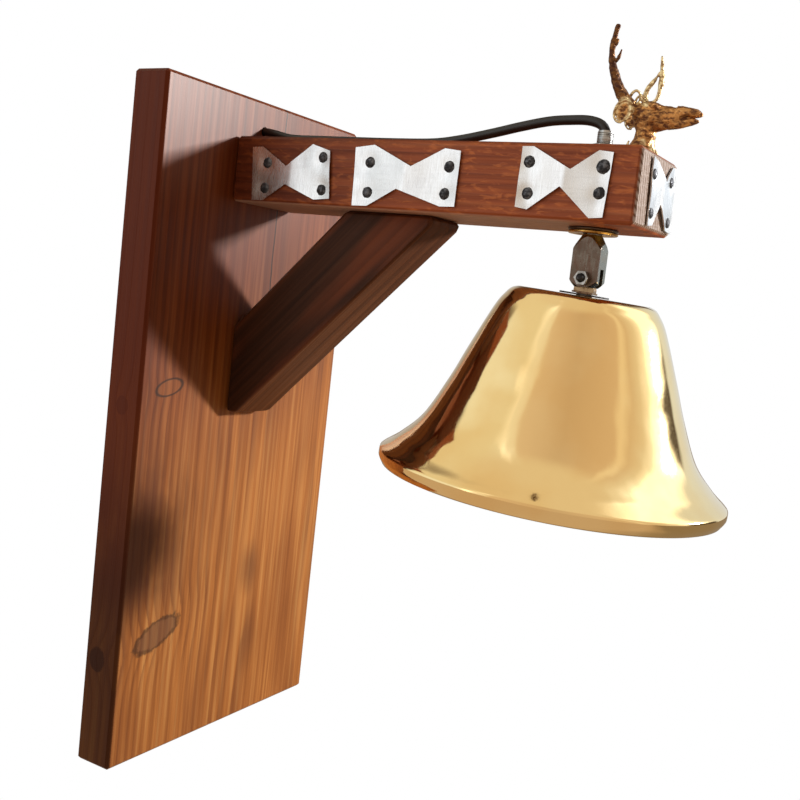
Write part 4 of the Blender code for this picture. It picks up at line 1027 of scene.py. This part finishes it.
# --- the shade and what is in it ------------------------------------------------------------------
SHADE_PLATE = -0.0106
SHADE_WALL = 0.0012
SHADE_OUTLINE = [(0.0402, 0.0), (0.0438, 0.0014), (0.0470, 0.0048), (0.0526, 0.0140), (0.0640, 0.0415),
                 (0.0722, 0.0625), (0.0843, 0.0880), (0.0975, 0.1030), (0.1080, 0.1118), (0.1080, 0.1158),
                 (0.1056, 0.1200)]


def make_shade():
    outline = [(radius, SHADE_PLATE - drop) for radius, drop in SHADE_OUTLINE]
    curve, _ = flowing([Vector((r, z, 0)) for r, z in outline], 120)
    widest = max(radius for radius, _ in SHADE_OUTLINE)
    wall = [(STUD_BORE, SHADE_PLATE), (0.0380, SHADE_PLATE), *[(min(p.x, widest), p.y) for p in curve]]
    inner = []
    for before, point, after in zip(wall[:-2], wall[1:-1], wall[2:]):
        way = Vector((after[0] - before[0], after[1] - before[1])).normalized()
        inner.append((point[0] + way.y * SHADE_WALL, point[1] - way.x * SHADE_WALL))
    inner = [(STUD_BORE, SHADE_PLATE - SHADE_WALL), *[p for p in inner if p[0] > 0.0054],
             (wall[-1][0] - SHADE_WALL, wall[-1][1])]
    profile = wall + inner[::-1]
    turned_piece("shade_spun", "shade", profile, GOLD, "shade_arm", "gold_mirror", HANG, 256, 60)
    washer("shade_washer_rolled", "shade_washer", IRON, "shade_arm", "dark_steel", HANG)
    softened("shade_nut", ZINC, 0.0004, "shade_arm", "zinc_steel")


def heights_of(node):
    """Lowest and highest point of a piece of the shade, along the shade's own axis."""
    inverse = HANG.inverted()
    heights = [(inverse @ v.co).z for v in frame["nodes"][node].data.vertices]
    return min(heights), max(heights)


def make_lampholder():
    cap_top = heights_of("lampholder_cap")[1]
    cap_low = heights_of("lampholder_cap")[0]
    wall, radius = (0.0020, 0.0195)
    cap = rounded([(STUD_BORE, cap_top), (0.0090, cap_top), (0.0150, cap_top - 0.004),
                   (radius, cap_top - 0.011), (radius, cap_low + 0.0004)], 0.0012)
    cap += [(radius - 0.0004, cap_low), (radius - wall, cap_low)]
    cap += rounded([(radius - wall, cap_top - 0.0116), (0.0143, cap_top - 0.0060), (0.0085, cap_top - wall),
                    (STUD_BORE, cap_top - wall)], 0.0008)
    turned_piece("lampholder_cap_moulded", "lampholder_cap", cap, BLACK_PLASTIC, "shade_arm", "black_plastic",
                 HANG, 72)
    low, high = heights_of("lampholder_sleeve")
    sleeve = [(0.0080, high), (radius - 0.0006, high), (radius, high - 0.0006)]
    count = 7
    for i in range(count):
        z = high - 0.004 - i * 0.0026
        sleeve += [(radius, z), (radius - 0.0006, z - 0.0006), (radius - 0.0006, z - 0.0012),
                   (radius, z - 0.0018)]
    sleeve += [(radius, low + 0.0005), (radius - 0.0005, low), (radius - wall, low),
               (radius - wall, high - wall), (0.0080, high - wall)]
    turned_piece("lampholder_sleeve_moulded", "lampholder_sleeve", sleeve, BLACK_PLASTIC, "shade_arm",
                 "black_plastic", HANG, 72)
    low, high = heights_of("lampholder_insert")
    outer = radius - wall - 2 * GAP
    insert = [(0.0030, low + 0.0003), (0.0033, low), (outer - 0.0004, low), (outer, low + 0.0004),
              (outer, high - 0.0004), (outer - 0.0004, high), (0.0033, high), (0.0030, high - 0.0003)]
    turned_piece("lampholder_insert_glazed", "lampholder_insert", insert, CERAMIC, "shade_arm", "ceramic",
                 HANG, 64)
    low, high = heights_of("lampholder_shell")
    outer, thin = (0.0144, 0.0007)
    shell = [(outer - 0.0002, high)]
    waves = 24
    for i in range(waves + 1):
        z = high - 0.0006 - (high - low - 0.0012) * i / waves
        shell.append((outer - 0.0002 + 0.00019 * math.sin(i * math.pi / 2), z))
    shell += [(outer - 0.0002, low), (outer - thin, low)]
    for i in range(waves + 1):
        z = low + 0.0006 + (high - low - 0.0012) * i / waves
        shell.append((outer - thin + 0.00010 * math.sin(i * math.pi / 2), z))
    shell.append((outer - thin, high))
    turned_piece("lampholder_shell_rolled", "lampholder_shell", shell, BRASS, "shade_arm", "bare_brass",
                 HANG, 64)


def make_bulb():
    low, high = heights_of("bulb_cap")
    radius = 0.0130
    core = [(0.0, high), (0.0034, high), (0.0042, high - 0.0004), (0.0060, high - 0.0022),
            (radius - 0.0012, high - 0.0050), (radius - 0.0012, low + 0.0030),
            (radius - 0.0002, low + 0.0022), (radius - 0.0002, low + 0.0002), (0.0, low)]
    cap = threaded("bulb_cap_rolled", core, radius - 0.00025, 0.0030, 0.0130, low + 0.0042, ZINC, HANG)
    deliver(cap, "shade_arm", "zinc_steel", "bulb_cap")
    low, high = heights_of("bulb_glass")
    globe, neck, wall = (0.0225, 0.0124, 0.0009)
    centre = low + globe
    angles = [math.radians(52 - 142 * i / 40) for i in range(41)]
    outside = [(neck, high), (neck + 0.0001, high - 0.0012)]
    outside += [(max(globe * math.cos(a), 0.0), centre + globe * math.sin(a)) for a in angles]
    inside = [(max((globe - wall) * math.cos(a), 0.0), centre + (globe - wall) * math.sin(a)) for a in angles]
    profile = outside[:-1] + [(0.0, low)] + [(0.0, low + wall)] + inside[:-1][::-1] + [(neck - wall, high)]
    turned_piece("bulb_globe", "bulb_glass", profile, BULB_GLASS, "shade_arm", "frosted_glass", HANG, 72)


# --- the stag's head ------------------------------------------------------------------------------
def loft(form, sections, sides=20):
    """A closed skin over oval sections: (point, half width across X, half depth)."""
    points = [Vector(point) for point, _, _ in sections]
    rows = []
    for i, (point, (_, wide, deep)) in enumerate(zip(points, sections)):
        tangent = (points[min(i + 1, len(points) - 1)] - points[max(i - 1, 0)]).normalized()
        other = tangent.cross(Vector((1, 0, 0))).normalized()
        rows.append([form.verts.new(point + Vector((wide * math.cos(a), 0, 0)) + other * deep * math.sin(a))
                     for a in [2 * math.pi * j / sides for j in range(sides)]])
    for low, high in zip(rows, rows[1:]):
        for j in range(sides):
            form.faces.new((low[j], low[(j + 1) % sides], high[(j + 1) % sides], high[j]))
    for row in (rows[0], rows[-1]):
        form.faces.new(row)
    return form


STAG_VOXEL = 0.00040
NECK = [((0, 0.0002, 0.0003), 0.0098, 0.0094), ((0, -0.0006, 0.0030), 0.0078, 0.0078),
        ((0, -0.0014, 0.0080), 0.0062, 0.0062), ((0, -0.0016, 0.0130), 0.0060, 0.0058),
        ((0, -0.0012, 0.0180), 0.0066, 0.0074), ((0, -0.0006, 0.0230), 0.0066, 0.0072)]
SKULL = [((0, 0.0068, 0.0246), 0.0030, 0.0034), ((0, 0.0040, 0.0240), 0.0062, 0.0062),
         ((0, 0.0000, 0.0226), 0.0076, 0.0084), ((0, -0.0050, 0.0212), 0.0076, 0.0088),
         ((0, -0.0110, 0.0208), 0.0062, 0.0074), ((0, -0.0165, 0.0214), 0.0048, 0.0062),
         ((0, -0.0215, 0.0224), 0.0040, 0.0048)]
UPPER_JAW = [((0, -0.0195, 0.0240), 0.0042, 0.0040), ((0, -0.0240, 0.0240), 0.0040, 0.0034),
             ((0, -0.0280, 0.0240), 0.0038, 0.0030), ((0, -0.0310, 0.0236), 0.0032, 0.0024),
             ((0, -0.0328, 0.0231), 0.0022, 0.0015), ((0, -0.0338, 0.0227), 0.0010, 0.0008)]
LOWER_JAW = [((0, -0.0150, 0.0176), 0.0040, 0.0036), ((0, -0.0220, 0.0182), 0.0034, 0.0028),
             ((0, -0.0275, 0.0188), 0.0028, 0.0021), ((0, -0.0308, 0.0190), 0.0022, 0.0014),
             ((0, -0.0322, 0.0192), 0.0010, 0.0007)]


def widths_along(radii, count):
    """A thickness for each of count + 1 points, eased between the given ones."""
    last = len(radii) - 1
    widths = []
    for i in range(count + 1):
        t = i / count * last
        k = min(int(t), last - 1)
        widths.append(radii[k] + (radii[k + 1] - radii[k]) * (t - k))
    return widths


def horn(form, points, radii, sides=10):
    route, _ = flowing(points, 40)
    sweep(form, route, widths_along(radii, 40), sides)


def stag_head_form():
    """Neck, skull, open jaws, brow ridges and the bark-like antler of the near side."""
    form = bmesh.new()
    for sections in (NECK, SKULL, UPPER_JAW, LOWER_JAW):
        loft(form, sections)
    for sign in (-1, 1):
        loft(form, [((sign * 0.0052, -0.0030, 0.0276), 0.0012, 0.0010),
                    ((sign * 0.0060, -0.0060, 0.0266), 0.0022, 0.0018),
                    ((sign * 0.0056, -0.0092, 0.0252), 0.0012, 0.0010)], 12)
        loft(form, [((sign * 0.0050, 0.0040, 0.0252), 0.0020, 0.0026),
                    ((sign * 0.0076, 0.0076, 0.0246), 0.0018, 0.0042),
                    ((sign * 0.0092, 0.0100, 0.0236), 0.0014, 0.0052)], 14)
        bowl = Matrix.Translation((sign * 0.0090, 0.0104, 0.0228)) @ Matrix.Diagonal((0.0011, 0.0046, 0.0062,
                                                                                      1))
        bmesh.ops.create_icosphere(form, subdivisions=3, radius=1.0, matrix=bowl)
    horn(form, [(-0.0050, 0.0078, 0.0270), (-0.0070, 0.0120, 0.0312), (-0.0088, 0.0150, 0.0366),
                (-0.0100, 0.0178, 0.0430), (-0.0110, 0.0206, 0.0520), (-0.0110, 0.0214, 0.0610),
                (-0.0110, 0.0204, 0.0670), (-0.0110, 0.0192, 0.0724)],
         [0.0036, 0.0038, 0.0031, 0.0026, 0.0021, 0.0018, 0.0016, 0.0014])
    horn(form, [(-0.0110, 0.0204, 0.0500), (-0.0106, 0.0172, 0.0530), (-0.0102, 0.0158, 0.0582)],
         [0.0011, 0.0009, 0.0006])
    horn(form, [(-0.0110, 0.0208, 0.0600), (-0.0108, 0.0190, 0.0622), (-0.0106, 0.0186, 0.0642)],
         [0.0010, 0.0008, 0.0005])
    bmesh.ops.recalc_face_normals(form, faces=form.faces)
    return form


def stag_gilt_form():
    """What is left bright: ear rims, the curls between the antlers, and the looped tines in front of them."""
    form = bmesh.new()
    for sign in (-1, 1):
        ring = [(sign * (0.0098 + 0.0008 * math.cos(a)), 0.0104 + 0.0048 * math.cos(a) - 0.0010 * math.sin(a),
                 0.0228 + 0.0066 * math.sin(a)) for a in [math.radians(-100 + 30 * i) for i in range(12)]]
        horn(form, ring, [0.0005, 0.0008, 0.0009, 0.0007, 0.0008, 0.0005])
    horn(form, [(-0.0052, 0.0092, 0.0290), (-0.0046, 0.0082, 0.0340), (-0.0030, 0.0060, 0.0362),
                (-0.0020, 0.0038, 0.0342), (-0.0024, 0.0036, 0.0306), (-0.0036, 0.0050, 0.0284)],
         [0.0006, 0.0009, 0.0008, 0.0009, 0.0006])
    horn(form, [(0.0020, 0.0080, 0.0290), (0.0022, 0.0070, 0.0330), (0.0030, 0.0044, 0.0346),
                (0.0036, 0.0014, 0.0322), (0.0034, -0.0006, 0.0290)],
         [0.0006, 0.0008, 0.0009, 0.0008, 0.0006])
    for shift in (0.0, 0.0014):
        horn(form, [(0.0056, 0.0030 - shift, 0.0280), (0.0060, 0.0040 - shift, 0.0330),
                    (0.0066, 0.0038 - shift, 0.0386), (0.0074, 0.0012 - shift, 0.0432),
                    (0.0084, -0.0026, 0.0482 + shift)], [0.0008, 0.0009, 0.0008, 0.0008, 0.0005])
    horn(form, [(0.0060, 0.0036, 0.0322), (0.0064, 0.0000, 0.0312), (0.0070, -0.0030, 0.0330),
                (0.0078, -0.0044, 0.0390), (0.0090, -0.0042, 0.0470), (0.0098, -0.0030, 0.0545),
                (0.0102, -0.0022, 0.0592)], [0.0008, 0.0010, 0.0012, 0.0018, 0.0015, 0.0011, 0.0006])
    horn(form, [(-0.0056, -0.0020, 0.0272), (-0.0052, 0.0014, 0.0300), (-0.0036, 0.0028, 0.0320),
                (-0.0010, 0.0010, 0.0318)], [0.0006, 0.0008, 0.0008, 0.0005])
    for across, along in ((-0.0060, 0.0070), (-0.0066, -0.0030), (-0.0030, -0.0076), (0.0030, -0.0074),
                          (0.0062, 0.0060)):
        horn(form, [(across * 1.25, along * 1.2, 0.0004), (across * 1.02, along, 0.0030),
                    (across * 0.86, along * 0.86, 0.0066)], [0.0010, 0.0008, 0.0005])
    bmesh.ops.recalc_face_normals(form, faces=form.faces)
    return form


def remeshed(mesh, voxel):
    """One clean closed skin round everything in a mesh."""
    thing = new_object("remesh", mesh, BRASS_CASTING)
    join = thing.modifiers.new("join", "REMESH")
    join.mode = "VOXEL"
    join.voxel_size = voxel
    make_real(thing)
    mesh = thing.data
    bpy.data.objects.remove(thing)
    return mesh


def make_stag():
    gilded = stag_gilt_form()
    bright = [vertex.co.copy() for vertex in gilded.verts]
    form = stag_head_form()
    extra = to_mesh(gilded, "gilt")
    form.from_mesh(extra)
    mesh = remeshed(to_mesh(form, "stag"), STAG_VOXEL)
    stag = new_object("stag_head_cast", mesh, BRASS_CASTING)
    tree = KDTree(len(bright))
    for index, point in enumerate(bright):
        tree.insert(point, index)
    tree.balance()
    rough, gilt = ([], [])
    for point, way in [(vertex.co.copy(), vertex.normal.copy()) for vertex in mesh.vertices]:
        fur = noise.noise(Vector((point.x * 900, point.y * 420, point.z * 620))) * 0.00034
        fur += noise.noise(Vector((point.x * 330, point.y * 200, point.z * 260))) * 0.00050
        shine = max(0.0, 1.0 - max(0.0, tree.find(point)[2] - 0.0006) / 0.0010)
        rough.extend(point + way * fur * (1 - 0.7 * shine))
        gilt.append(shine)
    mesh.vertices.foreach_set("co", rough)
    for vertex in mesh.vertices:
        vertex.co.z = min(max(vertex.co.z, 0.0), STAG_CEILING)
    mesh.transform(Matrix.Translation(STAG_PLACE))
    mark = mesh.attributes.new("gilt", "FLOAT", "POINT")
    mark.data.foreach_set("value", gilt)
    shade_round(mesh, 80)
    deliver(stag, "root", "cast_brass", "stag_head")


# --- fixings and wiring on the back ---------------------------------------------------------------
def make_back():
    for side in ("left", "right"):
        softened(f"hanger_{side}", ZINC, 0.0003, "root", "zinc_steel", 2)
        for count in (1, 2):
            softened(f"hanger_screw_{side}_{count}", ZINC, 0.0002, "root", "zinc_steel", 2, 40)
    for name in ("beam_screw_upper", "beam_screw_lower", "brace_screw_wall", "brace_screw_beam"):
        softened(name, ZINC, 0.0002, "root", "zinc_steel", 2, 40)
    softened("terminal_block", WHITE_PLASTIC, 0.0006, "root", "white_plastic", 3)
    softened("lampholder_contact", BRASS, 0.0003, "shade_arm", "bare_brass", 2)
    lead = frame["nodes"]["holder_lead"]
    lead.data.materials.clear()
    lead.data.materials.append(SHEATH)


# --- the studio -----------------------------------------------------------------------------------
FLOOR_DROP = 0.9
LAMP_HEADING = (40, 17.8)
LAMP_DISTANCE = 2.2
LAMP_TARGET = (0, -0.15, 0.08)
LAMP_SIZE = (0.21, 0.23)
LAMP_WATTS = 60.0
LAMP_COLOUR = (1.0, 0.98, 0.95)
DARK_ROOM = (0.05, 0.028, 0.016, 1)
OVER_BEAM = (118, 50)
WHITE_WALL = (-134, 20)
# The room as a mirror sees it: (azimuth, red, green, blue), 0 in front of the lamp and 90 to its right.
ROOM_BANDS = [(-180, 0.05, 0.022, 0.012), (-173, 0.05, 0.022, 0.012), (-168, 0.98, 1.00, 0.96),
              (-126, 1.00, 1.03, 1.02), (-122, 1.80, 1.80, 1.80), (-117, 1.80, 1.80, 1.80),
              (-113, 1.08, 1.04, 1.00), (-107, 0.96, 0.88, 0.76), (-103, 0.80, 0.64, 0.50),
              (-60, 0.68, 0.53, 0.40), (-30, 0.74, 0.58, 0.44), (-13, 0.78, 0.62, 0.48),
              (-7, 0.96, 0.84, 0.68), (-4, 0.96, 0.84, 0.68), (3, 0.80, 0.66, 0.52), (16, 0.90, 0.82, 0.70),
              (25, 1.20, 1.18, 1.14), (31, 1.90, 1.90, 1.90), (56, 1.90, 1.90, 1.90), (64, 0.86, 0.92, 0.97),
              (85, 0.78, 0.84, 0.90), (112, 0.72, 0.74, 0.76), (150, 0.30, 0.22, 0.16),
              (172, 0.05, 0.022, 0.012), (180, 0.05, 0.022, 0.012)]


def make_floor():
    """White to the camera, and a warm dim floor, darker to the right, in reflections and bounced light."""
    form = bmesh.new()
    bmesh.ops.create_grid(form, x_segments=2, y_segments=2, size=30.0)
    floor = new_object("floor", to_mesh(form, "floor"), None)
    floor.data.transform(Matrix.Translation((0, 0, BOARD_LOW.z - FLOOR_DROP)))
    material, _, place = new_material("pale_floor")
    axes = split(place)
    warm = mixed(eased(axes["X"], -0.2, 0.8), (0.62, 0.47, 0.35, 1), (0.31, 0.24, 0.17, 1))
    tree = material.node_tree
    seen = mixed(add_node(tree, "ShaderNodeLightPath").outputs["Is Camera Ray"], warm, (1, 1, 1, 1))
    glow = add_node(tree, "ShaderNodeEmission", {"Color": seen, "Strength": 1.0}).outputs[0]
    feed(tree.nodes["Material Output"].inputs["Surface"], glow)
    floor.data.materials.clear()
    floor.data.materials.append(material)


def make_surroundings():
    """A plain studio, drawn as bands round the object: a white wall to the left, a warm dim one in front,
    a tall window to the right, and dark behind. Matt surfaces see only a dim room and the white wall."""
    world = bpy.data.worlds.new("studio")
    bpy.context.scene.world = world
    world.use_nodes = True
    tree = world.node_tree
    tree.nodes.clear()
    way = Field(add_node(tree, "ShaderNodeTexCoord").outputs["Generated"])
    axes = split(way)
    turn = maths("ARCTAN2", axes["X"], axes["Y"] * -1.0)
    turn = maths("MULTIPLY_ADD", turn, 0.5 / math.pi, 0.5)
    stops = [(azimuth / 360 + 0.5, (red / 2, green / 2, blue / 2, 1)) for azimuth, red, green,
             blue in ROOM_BANDS]
    room = ramp(turn, *stops)
    behind = eased(axes["Y"], 0.10, 0.45)
    room = mixed(eased(axes["Z"], 0.44, 0.62), room, mixed(behind, room, (0.44, 0.40, 0.32, 1)))
    room = mixed(eased(axes["Z"], 0.80, 0.96), room, (0.42, 0.36, 0.28, 1))
    near_window = eased(turn, 0.57, 0.60) * eased(turn, 0.665, 0.685, 1.0, 0.0)
    under_sill = near_window * eased(axes["Z"], 0.20, 0.30, 1.0, 0.0)
    room = mixed(under_sill, room, (0.045, 0.035, 0.028, 1))
    over_beam = vector_maths("DOT_PRODUCT", way, tuple(heading(*OVER_BEAM)))
    over_beam = eased(over_beam, math.cos(math.radians(32)), math.cos(math.radians(22)))
    room = mixed(over_beam, room, DARK_ROOM)
    beyond = eased(turn, 0.752, 0.776) * eased(turn, 0.83, 0.85, 1.0, 0.0)
    beyond = beyond * eased(axes["Z"], 0.22, 0.28)
    room = mixed(beyond, room, DARK_ROOM)
    facing = vector_maths("DOT_PRODUCT", way, tuple(heading(*WHITE_WALL)))
    wall = eased(facing, math.cos(math.radians(52)), math.cos(math.radians(26)))
    fill = mixed(wall, (0.026, 0.020, 0.015, 1), (0.98, 0.95, 0.90, 1))
    rays = add_node(tree, "ShaderNodeLightPath").outputs
    seen = mixed(rays["Is Glossy Ray"], fill, room)
    around = add_node(tree, "ShaderNodeBackground", {"Color": seen, "Strength": 2.0}).outputs[0]
    white = add_node(tree, "ShaderNodeBackground", {"Color": (1, 1, 1, 1), "Strength": 1.0}).outputs[0]
    both = add_node(tree, "ShaderNodeMixShader", {0: rays["Is Camera Ray"]})
    feed(both.inputs[1], around)
    feed(both.inputs[2], white)
    feed(add_node(tree, "ShaderNodeOutputWorld").inputs["Surface"], both.outputs[0])


def make_light():
    """One soft box to the right, low enough for the beam's shadow to fall on the board."""
    data = bpy.data.lights.new("window_light", "AREA")
    data.shape = "RECTANGLE"
    data.size, data.size_y = LAMP_SIZE
    data.energy = LAMP_WATTS
    data.color = LAMP_COLOUR
    lamp = bpy.data.objects.new("window_light", data)
    way = heading(*LAMP_HEADING)
    lamp.matrix_world = (Matrix.Translation(Vector(LAMP_TARGET) + way * LAMP_DISTANCE)
                         @ way.to_track_quat("Z", "Y").to_matrix().to_4x4())
    bpy.context.scene.collection.objects.link(lamp)
    bpy.context.scene.view_settings.view_transform = "Standard"


# --- putting it together --------------------------------------------------------------------------
make_camera()
make_cable()
make_wood()
make_plates_and_nails()
make_tube_parts()
make_knuckle()
make_shade()
make_lampholder()
make_bulb()
make_stag()
make_back()
make_floor()
make_surroundings()
make_light()
